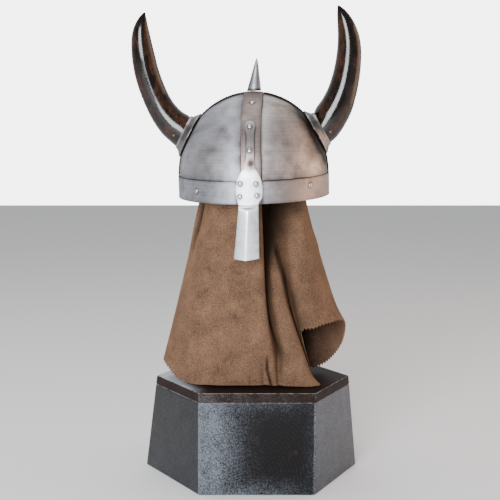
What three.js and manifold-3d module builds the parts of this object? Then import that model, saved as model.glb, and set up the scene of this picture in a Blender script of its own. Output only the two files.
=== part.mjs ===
// Horned Norse-style helmet of riveted steel, at rest on a suede-draped display stand.
// Millimetres, +Z up, -Y towards the viewer. The origin is the middle of the plinth's base, under the post.
import * as THREE from 'three';
import { mergeVertices } from 'three/addons/utils/BufferGeometryUtils.js';
import Module from 'manifold-3d';

const wasm = await Module();
wasm.setup();

// Clearance between neighbouring pieces
const gap = 0.3;

// Helmet shell and brow band
const browWidth = 216;
const browLength = 252.8;
const bandHeight = 30.5;
const bandThick = 1.5;
const crownRise = 115.6;
const bowlWall = 1.2;
const bowlLap = 25;

// Crest strap over the crown and the two side straps under the horn cups
const strapWidth = 26.5;
const strapThick = 1.2;

// The crest strap stands this far to the right of the middle where it crosses the crown
const crestDrift = 3.4;

// Nose guard
const nasalThick = 2;
const noseLength = 75;
const noseWidth = 34;
const noseRidge = 4.5;

// Spike on the crown
const spikeHeight = 46;
const spikeBase = 10.4;
const spikeLean = 6;

// Horns and their cups
const cupElevation = 28;
const cupBore = 24;
const cupWall = 1.5;
const cupHeight = 6.8;
const flangeReach = 8.8;
const flangeThick = 1.8;
const hornGirth = 23.8;
const hornSwing = 60;
const hornRise = 172;
const hornSweep = 12;
const hornWall = 4;
const hornHollow = 0.3;

// Rivets and horn nails
const rivetHead = 3.3;
const rivetDome = 1.7;
const rivetShank = 1.6;
const nailHead = 2.4;
const nailDome = 1.2;
const nailShank = 1;
const nailLength = 9;

// How the helmet sits on the stand, in degrees
const helmetTurn = -4.8;
const helmetRoll = -1.5;
const helmetNod = 3;

// Plinth: six sides, with the two side corners and the back leaning out towards the floor
const plinthHeight = 143.4;
const plinthFront = 160.4;
const plinthWidth = 281.8;
const plinthDepth = 226.8;
const plinthFlare = 17;
const plinthBackFlare = 28;
const lidThick = 13.3;
const plinthEdge = 1.5;
const plinthCorner = 4;

// Post and the padded wooden form that carries the helmet
const rimAboveLid = 266.1;
const postRadius = 20;
const formHalfWidth = 76;
const formHalfLength = 90;
const formDome = 60;
const formSide = 16;
const formTaper = 0.8;

// Suede drape
const drapeThick = 1.6;
const drapeHalfWidth = 133;
const drapeHalfDepth = 92;
const drapeMidShare = 0.46;

// Air left for the suede's nap between the drape and the bowl's crown
const napEase = 0.6;

// Shells that lie on each other, as distances outside the bowl
const bowlHalfWidth = browWidth / 2 - bandThick - gap;
const bowlHalfLength = browLength / 2 - bandThick - gap;
const strapIn = gap;
const strapOut = strapIn + strapThick;
const bandOut = gap + bandThick;
const nasalIn = bandOut + gap;
const nasalOut = nasalIn + nasalThick;
const cupSeat = strapOut + gap;
const tall = crownRise + bandHeight;

const radians = THREE.MathUtils.degToRad;

// Solids from rings and grids of points

function closedGeometry(points, triangles) {
  const geometry = new THREE.BufferGeometry();
  const places = points.flatMap((p) => [p.x, p.y, p.z]);
  geometry.setAttribute('position', new THREE.Float32BufferAttribute(places, 3));
  geometry.setIndex(triangles);
  return facingOut(geometry);
}

// Turns every triangle round where the solid's signed volume is negative.
function facingOut(geometry) {
  const at = geometry.attributes.position;
  const index = geometry.index.array;
  const [a, b, c] = [new THREE.Vector3(), new THREE.Vector3(), new THREE.Vector3()];
  let volume = 0;
  for (let i = 0; i < index.length; i += 3) {
    a.fromBufferAttribute(at, index[i]);
    b.fromBufferAttribute(at, index[i + 1]);
    c.fromBufferAttribute(at, index[i + 2]);
    volume += a.dot(b.cross(c));
  }
  if (volume < 0) {
    for (let i = 0; i < index.length; i += 3) {
      [index[i + 1], index[i + 2]] = [index[i + 2], index[i + 1]];
    }
  }
  return geometry;
}

// Skins a chain of rings. Poles close its two ends, and without them the last ring joins the first.
function loft(rings, firstPole, lastPole) {
  const count = rings[0].length;
  const points = rings.flat();
  const triangles = [];
  const spans = firstPole ? rings.length - 1 : rings.length;
  for (let k = 0; k < spans; k += 1) {
    for (let i = 0; i < count; i += 1) {
      const near = k * count;
      const far = ((k + 1) % rings.length) * count;
      const next = (i + 1) % count;
      triangles.push(near + i, near + next, far + next, near + i, far + next, far + i);
    }
  }
  if (firstPole) {
    const last = (rings.length - 1) * count;
    points.push(firstPole, lastPole);
    for (let i = 0; i < count; i += 1) {
      const next = (i + 1) % count;
      triangles.push(points.length - 2, next, i, points.length - 1, last + i, last + next);
    }
  }
  return closedGeometry(points, triangles);
}

// Thin plate between an outer and an inner grid of points, each a list of rows.
function plate(outer, inner) {
  const rows = outer.length;
  const columns = outer[0].length;
  const points = [...outer.flat(), ...inner.flat()];
  const back = rows * columns;
  const triangles = [];
  const quad = (p, q, r, s) => triangles.push(p, q, r, p, r, s);
  for (let i = 0; i + 1 < rows; i += 1) {
    for (let j = 0; j + 1 < columns; j += 1) {
      const p = i * columns + j;
      quad(p, p + 1, p + columns + 1, p + columns);
      quad(back + p + columns, back + p + columns + 1, back + p + 1, back + p);
    }
    const left = i * columns;
    const right = left + columns - 1;
    quad(left + columns, back + left + columns, back + left, left);
    quad(right, back + right, back + right + columns, right + columns);
  }
  for (let j = 0; j + 1 < columns; j += 1) {
    const end = (rows - 1) * columns + j;
    quad(j, back + j, back + j + 1, j + 1);
    quad(end + 1, back + end + 1, back + end, end);
  }
  return closedGeometry(points, triangles);
}

// Turned piece about its own Z axis, from a profile of [radius, height] that starts and ends on the axis.
function turned(profile, sides) {
  const ring = ([radius, height]) => Array.from({ length: sides }, (_, i) => {
    const angle = (i / sides) * 2 * Math.PI;
    return new THREE.Vector3(radius * Math.cos(angle), radius * Math.sin(angle), height);
  });
  const inner = profile.slice(1, -1);
  const foot = new THREE.Vector3(0, 0, profile[0][1]);
  const top = new THREE.Vector3(0, 0, profile[profile.length - 1][1]);
  return loft(inner.map(ring), foot, top);
}

// Booleans

function asManifold(geometry) {
  const bare = geometry.clone();
  bare.deleteAttribute('normal');
  bare.deleteAttribute('uv');
  const merged = mergeVertices(bare, 1e-4);
  const triVerts = Uint32Array.from(merged.index.array);
  const vertProperties = Float32Array.from(merged.attributes.position.array);
  return new wasm.Manifold(new wasm.Mesh({ numProp: 3, vertProperties, triVerts }));
}

function asGeometry(manifold) {
  const mesh = manifold.getMesh();
  const geometry = new THREE.BufferGeometry();
  geometry.setAttribute('position', new THREE.BufferAttribute(mesh.vertProperties, 3));
  geometry.setIndex(new THREE.BufferAttribute(mesh.triVerts, 1));
  return geometry;
}

// Bowl and band surfaces, in the helmet's own frame: rim centre at the origin, nose towards -Y

// Point on the shell's front or back, at a side place x and a height z, `out` outside the bowl.
function onShell(x, z, out, side = -1) {
  const across = x / (bowlHalfWidth + out);
  const up = Math.max(z - bandHeight, 0) / (crownRise + out);
  const depth = Math.sqrt(Math.max(1 - across * across - up * up, 0));
  return new THREE.Vector3(x, side * (bowlHalfLength + out) * depth, z);
}

// Point on the dome from a place along an arch: `rise` runs from 0 at the foot to pi at the other foot.
function onArch(rise, offset, out, alongX) {
  const [run, span] = alongX ? [bowlHalfWidth, bowlHalfLength] : [bowlHalfLength, bowlHalfWidth];
  const across = offset / (span + out);
  const shrink = Math.sqrt(1 - across * across);
  const along = -(run + out) * Math.cos(rise) * shrink;
  const height = bandHeight + (crownRise + out) * Math.sin(rise) * shrink;
  return alongX ? new THREE.Vector3(along, offset, height) : new THREE.Vector3(offset, along, height);
}

// Outward direction of the shell at a point.
function shellNormal(point) {
  const up = Math.max(point.z - bandHeight, 0);
  const across = point.x / bowlHalfWidth ** 2;
  const along = point.y / bowlHalfLength ** 2;
  return new THREE.Vector3(across, along, up / crownRise ** 2).normalize();
}

// Distance along a line, from a start inside the dome, to the surface `out` outside the bowl.
function reachDome(start, direction, out) {
  const scale = new THREE.Vector3(bowlHalfWidth + out, bowlHalfLength + out, crownRise + out);
  const from = start.clone().sub(new THREE.Vector3(0, 0, bandHeight)).divide(scale);
  const step = direction.clone().divide(scale);
  const [a, b, c] = [step.dot(step), from.dot(step), from.dot(from) - 1];
  return (-b + Math.sqrt(b * b - a * c)) / a;
}

const shellSides = 40;

// Bowl: one raised shell, with a straight skirt that laps inside the brow band
function bowlRing(height, rise, out) {
  return Array.from({ length: shellSides }, (_, i) => {
    const angle = (i / shellSides) * 2 * Math.PI;
    const reach = Math.cos(rise);
    const x = (bowlHalfWidth + out) * reach * Math.cos(angle);
    const y = (bowlHalfLength + out) * reach * Math.sin(angle);
    return new THREE.Vector3(x, y, height + (crownRise + out) * Math.sin(rise));
  });
}

function bowlGeometry() {
  const rises = [80, 68, 56, 44, 32, 21, 10, 0].map(radians);
  const inner = rises.map((rise) => bowlRing(bandHeight, rise, -bowlWall));
  const outer = rises.map((rise) => bowlRing(bandHeight, rise, 0)).reverse();
  const foot = bandHeight - bowlLap;
  const skirt = [bowlRing(foot, 0, -bowlWall), bowlRing(foot, 0, 0)];
  const innerPole = new THREE.Vector3(0, 0, bandHeight + crownRise - bowlWall);
  const outerPole = new THREE.Vector3(0, 0, bandHeight + crownRise);
  return loft([...inner, ...skirt, ...outer], innerPole, outerPole);
}

// Brow band: a flat hoop round the bowl's foot
function bandGeometry() {
  return loft([
    bowlRing(0, 0, gap),
    bowlRing(bandHeight, 0, gap),
    bowlRing(bandHeight, 0, bandOut),
    bowlRing(0, 0, bandOut),
  ]);
}

// Straps: flat bars bent over the dome
const crestMiddle = (rise) => crestDrift * Math.sin(rise) ** 4;

function strapGeometry(from, to, steps, alongX) {
  const columns = 3;
  const grid = (out) => Array.from({ length: steps + 1 }, (_, i) => {
    const rise = from + ((to - from) * i) / steps;
    const middle = alongX ? 0 : crestMiddle(rise);
    return Array.from({ length: columns + 1 }, (__, j) => (
      onArch(rise, middle + strapWidth * (j / columns - 0.5), out, alongX)));
  });
  return plate(grid(strapOut), grid(strapIn));
}

// The arch angle just over the band, and those at which the side straps meet the crest strap's edges
const strapFoot = Math.asin(gap / crownRise) + radians(0.5);
const leftStrapTop = Math.acos((strapWidth / 2 + gap * 2 - crestDrift) / bowlHalfWidth);
const rightStrapTop = Math.PI - Math.acos((strapWidth / 2 + gap * 2 + crestDrift) / bowlHalfWidth);

// Nose guard: a riveted tab and neck on the crest, a spade over the band and a ridged nose piece.
// Each row is a height with the left and right edges and the ridge's strength, as shares.
// Heights above the rim are shares of the dome and band's height, and those below of noseLength.
const nasalRows = [
  { up: 0.749, left: -0.05, right: 0.01, ridge: 0 },
  { up: 0.744, left: -0.15, right: 0.1, ridge: 0 },
  { up: 0.731, left: -0.21, right: 0.17, ridge: 0 },
  { up: 0.702, left: -0.235, right: 0.2, ridge: 0 },
  { up: 0.672, left: -0.22, right: 0.185, ridge: 0 },
  { up: 0.645, left: -0.18, right: 0.16, ridge: 0 },
  { up: 0.6, left: -0.158, right: 0.15, ridge: 0 },
  { up: 0.49, left: -0.165, right: 0.145, ridge: 0 },
  { up: 0.4, left: -0.19, right: 0.14, ridge: 0 },
  { up: 0.345, left: -0.26, right: 0.165, ridge: 0 },
  { up: 0.3, left: -0.38, right: 0.245, ridge: 0 },
  { up: 0.245, left: -0.505, right: 0.36, ridge: 0 },
  { up: 0.19, left: -0.575, right: 0.425, ridge: 0 },
  { up: 0.13, left: -0.605, right: 0.445, ridge: 0 },
  { up: 0.062, left: -0.575, right: 0.41, ridge: 0 },
  { up: 0.006, left: -0.52, right: 0.275, ridge: 0 },
  { up: -0.05, left: -0.51, right: 0.268, ridge: 0.15 },
  { up: -0.16, left: -0.535, right: 0.265, ridge: 0.8 },
  { up: -0.45, left: -0.605, right: 0.265, ridge: 0.95 },
  { up: -0.75, left: -0.68, right: 0.262, ridge: 1 },
  { up: -0.97, left: -0.742, right: 0.26, ridge: 1 },
];
const nasalRidgeAt = 0.46;
const nasalTip = 0.03;
const nasalColumns = [0, 0.23, nasalRidgeAt, 0.73, 1];

function nasalGeometry() {
  const grid = (out) => nasalRows.map((row) => nasalColumns.map((share) => {
    const x = noseWidth * (row.left + (row.right - row.left) * share);
    const peak = 1 - Math.abs(share - nasalRidgeAt) / Math.max(nasalRidgeAt, 1 - nasalRidgeAt);
    const dip = row.up < -0.9 ? noseLength * nasalTip * peak : 0;
    const z = row.up > 0 ? row.up * tall : row.up * noseLength - dip;
    const point = onShell(x, z, out);
    point.y -= noseRidge * row.ridge * peak;
    return point;
  }));
  return plate(grid(nasalOut), grid(nasalIn));
}

// Crown spike: a slim cone that flares to a flat foot on the crest strap and leans a little sideways
const spikeRows = [
  { wide: 0, up: 0 },
  { wide: 1, up: 0 },
  { wide: 1, up: 0.016 },
  { wide: 0.9, up: 0.045 },
  { wide: 0.81, up: 0.16 },
  { wide: 0.61, up: 0.42 },
  { wide: 0.35, up: 0.72 },
  { wide: 0.13, up: 0.94 },
  { wide: 0, up: 1 },
];

function spikeGeometry() {
  const spike = turned(spikeRows.map((row) => [row.wide * spikeBase, row.up * spikeHeight]), 16);
  const sheared = new THREE.Matrix4().makeShear(0, 0, 0, 0, Math.tan(radians(spikeLean)), 0);
  return spike.applyMatrix4(sheared);
}

// Horn cups: a ring on the side strap, square to the dome, with a flange that follows the dome
function cupFrame(side) {
  const out = new THREE.Vector3(side * Math.cos(radians(cupElevation)), 0, Math.sin(radians(cupElevation)));
  const rise = Math.atan2(out.z * crownRise, Math.abs(out.x) * bowlHalfWidth);
  const seat = onArch(side < 0 ? rise : Math.PI - rise, 0, cupSeat, true);
  const forward = new THREE.Vector3(0, 1, 0);
  const along = new THREE.Vector3().crossVectors(forward, out).multiplyScalar(-side).normalize();
  return { seat, out, forward, along };
}

function cupGeometry(side) {
  const { seat, out, forward, along } = cupFrame(side);
  const sides = 24;
  const depth = 60;
  const ring = (radius, onSeat, height) => Array.from({ length: sides }, (_, i) => {
    const angle = (i / sides) * 2 * Math.PI;
    const foot = seat.clone().addScaledVector(out, -depth);
    foot.addScaledVector(forward, radius * Math.cos(angle)).addScaledVector(along, radius * Math.sin(angle));
    const reach = onSeat ? reachDome(foot, out, cupSeat) + height : depth + height;
    return foot.addScaledVector(out, reach);
  });
  const wall = cupBore + cupWall;
  const edge = wall + flangeReach;
  return loft([
    ring(cupBore, true, 0),
    ring(cupBore, false, cupHeight),
    ring(wall - 0.4, false, cupHeight),
    ring(wall, false, cupHeight - 0.6),
    ring(wall + 0.5, true, flangeThick + 2),
    ring(wall + 1.4, true, flangeThick + 0.3),
    ring(edge - 0.7, true, flangeThick),
    ring(edge, true, flangeThick * 0.5),
    ring(edge, true, 0),
  ]);
}

// Horns: each natural horn has its own curve. Rows run from the cup's mouth to the tip, with the
// reach outwards, the rise, the girth and the section's lean in degrees.
const leftHornRows = [
  { reach: 0, rise: 0, girth: 0.985, lean: 28 },
  { reach: 0.115, rise: 0.035, girth: 0.955, lean: 37 },
  { reach: 0.265, rise: 0.08, girth: 0.9, lean: 46 },
  { reach: 0.445, rise: 0.162, girth: 0.83, lean: 56 },
  { reach: 0.58, rise: 0.25, girth: 0.785, lean: 64 },
  { reach: 0.685, rise: 0.34, girth: 0.77, lean: 70 },
  { reach: 0.77, rise: 0.43, girth: 0.755, lean: 75 },
  { reach: 0.835, rise: 0.52, girth: 0.735, lean: 80 },
  { reach: 0.88, rise: 0.618, girth: 0.705, lean: 84 },
  { reach: 0.906, rise: 0.702, girth: 0.65, lean: 87 },
  { reach: 0.918, rise: 0.775, girth: 0.585, lean: 91 },
  { reach: 0.912, rise: 0.838, girth: 0.495, lean: 96 },
  { reach: 0.89, rise: 0.89, girth: 0.38, lean: 101 },
  { reach: 0.855, rise: 0.937, girth: 0.24, lean: 107 },
  { reach: 0.815, rise: 0.976, girth: 0.08, lean: 112 },
];
const rightHornRows = [
  { reach: 0, rise: 0, girth: 0.985, lean: 28 },
  { reach: 0.085, rise: 0.035, girth: 1, lean: 44 },
  { reach: 0.2, rise: 0.1, girth: 1.005, lean: 57 },
  { reach: 0.34, rise: 0.182, girth: 0.955, lean: 65 },
  { reach: 0.458, rise: 0.284, girth: 0.875, lean: 72 },
  { reach: 0.545, rise: 0.39, girth: 0.82, lean: 77 },
  { reach: 0.605, rise: 0.503, girth: 0.77, lean: 83 },
  { reach: 0.635, rise: 0.614, girth: 0.72, lean: 89 },
  { reach: 0.63, rise: 0.705, girth: 0.66, lean: 95 },
  { reach: 0.593, rise: 0.79, girth: 0.565, lean: 101 },
  { reach: 0.528, rise: 0.87, girth: 0.43, lean: 107 },
  { reach: 0.458, rise: 0.932, girth: 0.265, lean: 112 },
  { reach: 0.4, rise: 0.975, girth: 0.09, lean: 115 },
];

// The horn's axis and, beside it, its girth and lean, as two curves with the same parameter.
function hornCurves(rows, side) {
  const { seat, out } = cupFrame(side);
  const mouth = seat.clone().addScaledVector(out, cupHeight);
  const axis = rows.map((row) => new THREE.Vector3(
    mouth.x + side * hornSwing * row.reach,
    mouth.y - hornSweep * row.rise ** 2,
    mouth.z + hornRise * row.rise,
  ));
  const shape = rows.map((row) => new THREE.Vector3(hornGirth * row.girth, radians(row.lean), 0));
  return [new THREE.CatmullRomCurve3(axis), new THREE.CatmullRomCurve3(shape, false, 'catmullrom')];
}

function hornRing(centre, radius, lean, side, sides) {
  const forward = new THREE.Vector3(0, 1, 0);
  const inward = new THREE.Vector3(-side * Math.sin(lean), 0, Math.cos(lean));
  return Array.from({ length: sides }, (_, i) => {
    const angle = (i / sides) * 2 * Math.PI;
    const point = centre.clone().addScaledVector(forward, radius * Math.cos(angle));
    return point.addScaledVector(inward, radius * Math.sin(angle));
  });
}

function hornGeometry(rows, side) {
  const sides = 16;
  const steps = 16;
  const [axis, shape] = hornCurves(rows, side);
  const { seat, out } = cupFrame(side);
  const root = seat.clone().addScaledVector(out, gap);
  const rootLean = radians(rows[0].lean);
  const section = (t, wall) => {
    const at = shape.getPoint(t);
    return hornRing(axis.getPoint(t), at.x - wall, at.y, side, sides);
  };
  const rootGirth = hornGirth * rows[0].girth;
  const rings = [hornRing(root, rootGirth, rootLean, side, sides)];
  for (let k = 0; k <= steps; k += 1) rings.push(section(k / steps, 0));
  const hollowSteps = 2;
  const hollow = [hornRing(root, rootGirth - hornWall, rootLean, side, sides)];
  for (let k = 0; k <= hollowSteps; k += 1) {
    const share = k / hollowSteps;
    hollow.push(section(share * hornHollow, hornWall + share * hornGirth * 0.35));
  }
  hollow.reverse();
  const bottom = axis.getPoint(hornHollow + 0.03);
  const lastRow = rows[rows.length - 1];
  const tip = axis.getPoint(1);
  const tipLean = radians(lastRow.lean);
  const onward = new THREE.Vector3(side * Math.cos(tipLean), 0, Math.sin(tipLean));
  tip.addScaledVector(onward, hornGirth * lastRow.girth);
  return loft([...hollow, ...rings], bottom, tip);
}

// Plinth: a six-sided block and its lid. `drop` is the share of the height below the top.
function plinthRing(z, inset) {
  const drop = 1 - z / plinthHeight;
  const [half, side, depth] = [plinthFront / 2, plinthWidth / 2, plinthDepth / 2];
  const stretch = 1 + (plinthFlare / (side - half)) * drop;
  const sideX = half + (side - half) * stretch;
  const sideY = depth * (stretch - 1);
  const backY = depth + plinthBackFlare * drop;
  const backX = sideX - ((side - half) / depth) * (backY - sideY);
  const rightSide = [[half, -depth], [sideX, sideY], [backX, backY]];
  const leftSide = rightSide.map(([x, y]) => [-x, y]).reverse();
  const outline = [...rightSide, ...leftSide].map(([x, y]) => new THREE.Vector2(x, y));
  const rounded = outline.flatMap((corner, i) => roundedCorner(outline, corner, i, inset));
  return rounded.map((p) => new THREE.Vector3(p.x, p.y, z));
}

// Three points of the small curve at a corner, moved in from the two faces by `inset`.
function roundedCorner(outline, corner, i, inset) {
  const before = outline[(i + outline.length - 1) % outline.length].clone().sub(corner).normalize();
  const after = outline[(i + 1) % outline.length].clone().sub(corner).normalize();
  const inward = before.clone().add(after).normalize();
  const halfAngle = Math.acos(before.dot(after)) / 2;
  const moved = corner.clone().addScaledVector(inward, inset / Math.sin(halfAngle));
  const cut = plinthCorner / 2;
  return [
    moved.clone().addScaledVector(before, cut),
    moved.clone().addScaledVector(inward, cut * 0.22),
    moved.clone().addScaledVector(after, cut),
  ];
}

function plinthSolid(low, high, edge) {
  const rings = [
    plinthRing(low, edge), plinthRing(low + edge, 0), plinthRing(high - edge, 0), plinthRing(high, edge),
  ];
  return loft(rings, new THREE.Vector3(0, 0, low), new THREE.Vector3(0, 0, high));
}

// Helmet placement, and the stand's form, which stands at the helmet's own tilt
const helmet = new THREE.Group();
helmet.rotation.set(radians(helmetNod), radians(helmetRoll), radians(helmetTurn), 'ZYX');
helmet.position.set(0, 0, plinthHeight + rimAboveLid);
helmet.updateMatrixWorld(true);

const crownInside = bandHeight + crownRise - bowlWall;
const formTop = crownInside - gap - napEase - drapeThick - gap;
const formShoulder = formTop - formDome;
const formFoot = formShoulder - formSide;

// Drape: strands of suede that run over the form and hang to the hem, listed round from the back.
// turn is the place on the form in degrees from the nose; the rest are shares: sideways of
// drapeHalfWidth, depth of drapeHalfDepth and hem height of rimAboveLid.
const strands = [
  { turn: 180, rim: [0, 1.04], mid: [0, 1.09], hem: [0, 1.05], up: 0.014 },
  { turn: 207, rim: [-0.34, 0.96], mid: [-0.41, 1.04], hem: [-0.47, 1.19], up: 0.014 },
  { turn: 238, rim: [-0.54, 0.56], mid: [-0.7, 0.69], hem: [-0.8, 0.84], up: 0.02 },
  { turn: 264, rim: [-0.58, 0.11], mid: [-0.765, 0.13], hem: [-0.87, 0.13], up: 0.07 },
  { turn: 284, rim: [-0.585, -0.24], mid: [-0.81, -0.26], hem: [-0.985, -0.24], up: 0.105 },
  { turn: 304, rim: [-0.525, -0.63], mid: [-0.72, -0.65], hem: [-0.84, -0.63], up: 0.035 },
  { turn: 324, rim: [-0.38, -0.89], mid: [-0.54, -0.87], hem: [-0.69, -0.78], up: 0.014 },
  { turn: 341, rim: [-0.21, -0.98], mid: [-0.33, -0.96], hem: [-0.44, -0.87], up: 0.014 },
  { turn: 353, rim: [-0.06, -1], mid: [-0.1, -1.01], hem: [-0.15, -0.9], up: 0.014 },
  { turn: 362, rim: [0.035, -0.95], mid: [0.085, -0.98], hem: [0.2, -0.89], up: 0.014 },
  { turn: 368, rim: [0.055, -0.42], mid: [0.105, -0.56], hem: [0.24, -0.8], up: 0.014 },
  { turn: 373, rim: [0.11, -0.33], mid: [0.17, -0.9], hem: [0.34, -0.9], up: 0.01 },
  { turn: 379, rim: [0.14, -0.3], mid: [0.3, -0.87], hem: [0.6, -0.87], up: 0.01 },
  { turn: 385, rim: [0.21, -0.45], mid: [0.345, -0.58], hem: [0.6, -0.56], up: 0.05 },
  { turn: 393, rim: [0.32, -0.64], mid: [0.4, -0.82], hem: [0.485, -0.72], up: 0.27 },
  { turn: 403, rim: [0.44, -0.7], mid: [0.56, -0.8], hem: [0.62, -0.7], up: 0.3 },
  { turn: 418, rim: [0.515, -0.52], mid: [0.72, -0.6], hem: [0.8, -0.62], up: 0.325 },
  { turn: 437, rim: [0.555, -0.18], mid: [0.85, -0.22], hem: [0.975, -0.4], up: 0.322 },
  { turn: 455, rim: [0.545, 0.15], mid: [0.82, 0.1], hem: [0.98, 0.03], up: 0.17 },
  { turn: 472, rim: [0.5, 0.47], mid: [0.73, 0.41], hem: [0.82, 0.33], up: 0.04 },
  { turn: 490, rim: [0.42, 0.74], mid: [0.595, 0.64], hem: [0.6, 0.36], up: 0.014 },
  { turn: 513, rim: [0.25, 0.93], mid: [0.36, 1.02], hem: [0.44, 1.15], up: 0.014 },
];
const drapeSides = 56;
const domeRises = [70, 46, 22, 0];
const skirtSteps = 10;

// Closed ring through one point of each strand, with the same sharing-out at every level.
function strandRing(points) {
  const curve = new THREE.CatmullRomCurve3(points, true, 'catmullrom', 0.5);
  return Array.from({ length: drapeSides }, (_, i) => curve.getPoint(i / drapeSides));
}

function formPoint(turn, rise, out) {
  const angle = radians(turn);
  const reach = Math.cos(radians(rise));
  const x = (formHalfWidth + out) * reach * Math.sin(angle);
  const y = -(formHalfLength + out) * reach * Math.cos(angle);
  return new THREE.Vector3(x, y, formShoulder + (formDome + out) * Math.sin(radians(rise)));
}

const formRing = (rise, out) => strandRing(strands.map((strand) => formPoint(strand.turn, rise, out)));

function drapeGeometry() {
  const skinOut = gap + drapeThick;
  const toWorld = (point) => point.clone().applyMatrix4(helmet.matrixWorld);
  const falls = strands.map((strand) => {
    const place = ([x, y], up) => (
      new THREE.Vector3(x * drapeHalfWidth, y * drapeHalfDepth, plinthHeight + gap + up * rimAboveLid));
    return new THREE.CatmullRomCurve3([
      toWorld(formPoint(strand.turn, 0, skinOut)),
      place(strand.rim, 0.97),
      place(strand.mid, drapeMidShare),
      place(strand.hem, strand.up),
    ], false, 'catmullrom', 0.4);
  });
  const outer = domeRises.map((rise) => formRing(rise, skinOut).map(toWorld));
  for (let k = 1; k <= skirtSteps; k += 1) {
    const level = falls.map((fall) => fall.getPoint(k / skirtSteps));
    outer.push(strandRing(level));
  }
  const inner = outer.map((ring, k) => {
    if (k < domeRises.length) return formRing(domeRises[k], gap).map(toWorld);
    return ring.map((point, i) => point.clone().addScaledVector(ringNormal(outer, k, i), -drapeThick));
  });
  const topPole = toWorld(new THREE.Vector3(0, 0, formTop + skinOut));
  const innerPole = toWorld(new THREE.Vector3(0, 0, formTop + gap));
  return loft([...outer, ...inner.reverse()], topPole, innerPole);
}

// Outward direction of the cloth at one point of its rings. The hem's own stays level, off the lid.
function ringNormal(rings, k, i) {
  const count = rings[k].length;
  const round = rings[k][(i + 1) % count].clone().sub(rings[k][(i + count - 1) % count]);
  const below = rings[Math.min(k + 1, rings.length - 1)][i];
  const down = below.clone().sub(rings[k - 1][i]);
  const normal = new THREE.Vector3().crossVectors(down, round).normalize();
  if (k === rings.length - 1) normal.setZ(0).normalize();
  return normal;
}

function formGeometry() {
  const rings = domeRises.map((rise) => formRing(rise, 0));
  const shoulder = rings[rings.length - 1];
  const foot = shoulder.map((p) => new THREE.Vector3(p.x * formTaper, p.y * formTaper, formFoot));
  return loft([...rings, foot], new THREE.Vector3(0, 0, formTop), new THREE.Vector3(0, 0, formFoot));
}

// Rivets: where each one stands, what it goes through, and what its head rests on
const strapLayers = ['crest_strap', 'bowl'];
const nasalStrapLayers = ['nasal', 'crest_strap', 'bowl'];
const bandLayers = ['brow_band', 'bowl'];
const nasalBandLayers = ['nasal', 'brow_band', 'bowl'];

function browPoint(turn, up) {
  const angle = radians(turn);
  const x = (bowlHalfWidth + bandOut) * Math.sin(angle);
  const y = -(bowlHalfLength + bandOut) * Math.cos(angle);
  return new THREE.Vector3(x, y, up * bandHeight);
}

const crestPoint = (degrees) => onArch(radians(degrees), crestMiddle(radians(degrees)), strapOut, false);
const nasalPoint = (sideways, up) => onShell(sideways * noseWidth, up * tall, nasalOut);
const rivets = [
  { name: 'nasal_tab_rivet', at: nasalPoint(-0.025, 0.702), through: nasalStrapLayers },
  { name: 'nasal_neck_rivet', at: nasalPoint(-0.035, 0.49), through: nasalStrapLayers },
  { name: 'spade_rivet_upper_left', at: nasalPoint(-0.425, 0.19), through: nasalBandLayers },
  { name: 'spade_rivet_upper_right', at: nasalPoint(0.2, 0.187), through: nasalBandLayers },
  { name: 'spade_rivet_lower_left', at: nasalPoint(-0.45, 0.074), through: nasalBandLayers },
  { name: 'spade_rivet_lower_right', at: nasalPoint(0.232, 0.08), through: nasalBandLayers },
  { name: 'crest_rivet_front', at: crestPoint(61), through: strapLayers },
  { name: 'crest_rivet_rear_upper', at: crestPoint(119), through: strapLayers },
  { name: 'crest_rivet_rear_middle', at: crestPoint(145), through: strapLayers },
  { name: 'crest_rivet_rear_lower', at: crestPoint(172), through: strapLayers },
  { name: 'brow_rivet_left', at: browPoint(-44.7, 0.52), through: bandLayers },
  { name: 'brow_rivet_right', at: browPoint(47.1, 0.66), through: bandLayers },
  { name: 'brow_rivet_rear_left', at: browPoint(-135, 0.55), through: bandLayers },
  { name: 'brow_rivet_rear_right', at: browPoint(135, 0.55), through: bandLayers },
  { name: 'brow_rivet_rear', at: browPoint(180, 0.55), through: bandLayers },
];

// Small domed head on a straight shank, axis +Z, with its seat at the origin.
function studGeometry(head, dome, shank, length) {
  const stem = [[0, -length], [shank, -length], [shank, 0]];
  const cap = [[head, 0], [head * 0.72, dome * 0.74], [0, dome]];
  return turned([...stem, ...cap], 8);
}

function drillAlong(at, normal, radius, reach) {
  const drill = turned([[0, -reach], [radius, -reach], [radius, reach], [0, reach]], 8);
  drill.applyQuaternion(new THREE.Quaternion().setFromUnitVectors(new THREE.Vector3(0, 0, 1), normal));
  return drill.translate(at.x, at.y, at.z);
}

const seatOf = (rivet) => rivet.at.clone().addScaledVector(shellNormal(rivet.at), gap);

// A rivet's shank goes through its layers, flush with the bowl's inner face.
const topLayerOut = { nasal: nasalOut, brow_band: bandOut, crest_strap: strapOut };
const shankLength = (rivet) => topLayerOut[rivet.through[0]] + bowlWall + gap;

// Horn nails: each goes square into its horn, just outside the cup
const nailAlong = 0.06;
const nailAround = 28;

function hornNail(rows, side) {
  const [axis, shape] = hornCurves(rows, side);
  const at = shape.getPoint(nailAlong);
  const lean = at.y;
  const inward = new THREE.Vector3(-side * Math.sin(lean), 0, Math.cos(lean));
  const normal = new THREE.Vector3(0, -Math.cos(radians(nailAround)), 0);
  normal.addScaledVector(inward, -Math.sin(radians(nailAround)));
  const seat = axis.getPoint(nailAlong).addScaledVector(normal, at.x + gap);
  return { seat, normal };
}

const hornNails = {
  left: hornNail(leftHornRows, -1),
  right: hornNail(rightHornRows, 1),
};

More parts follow.
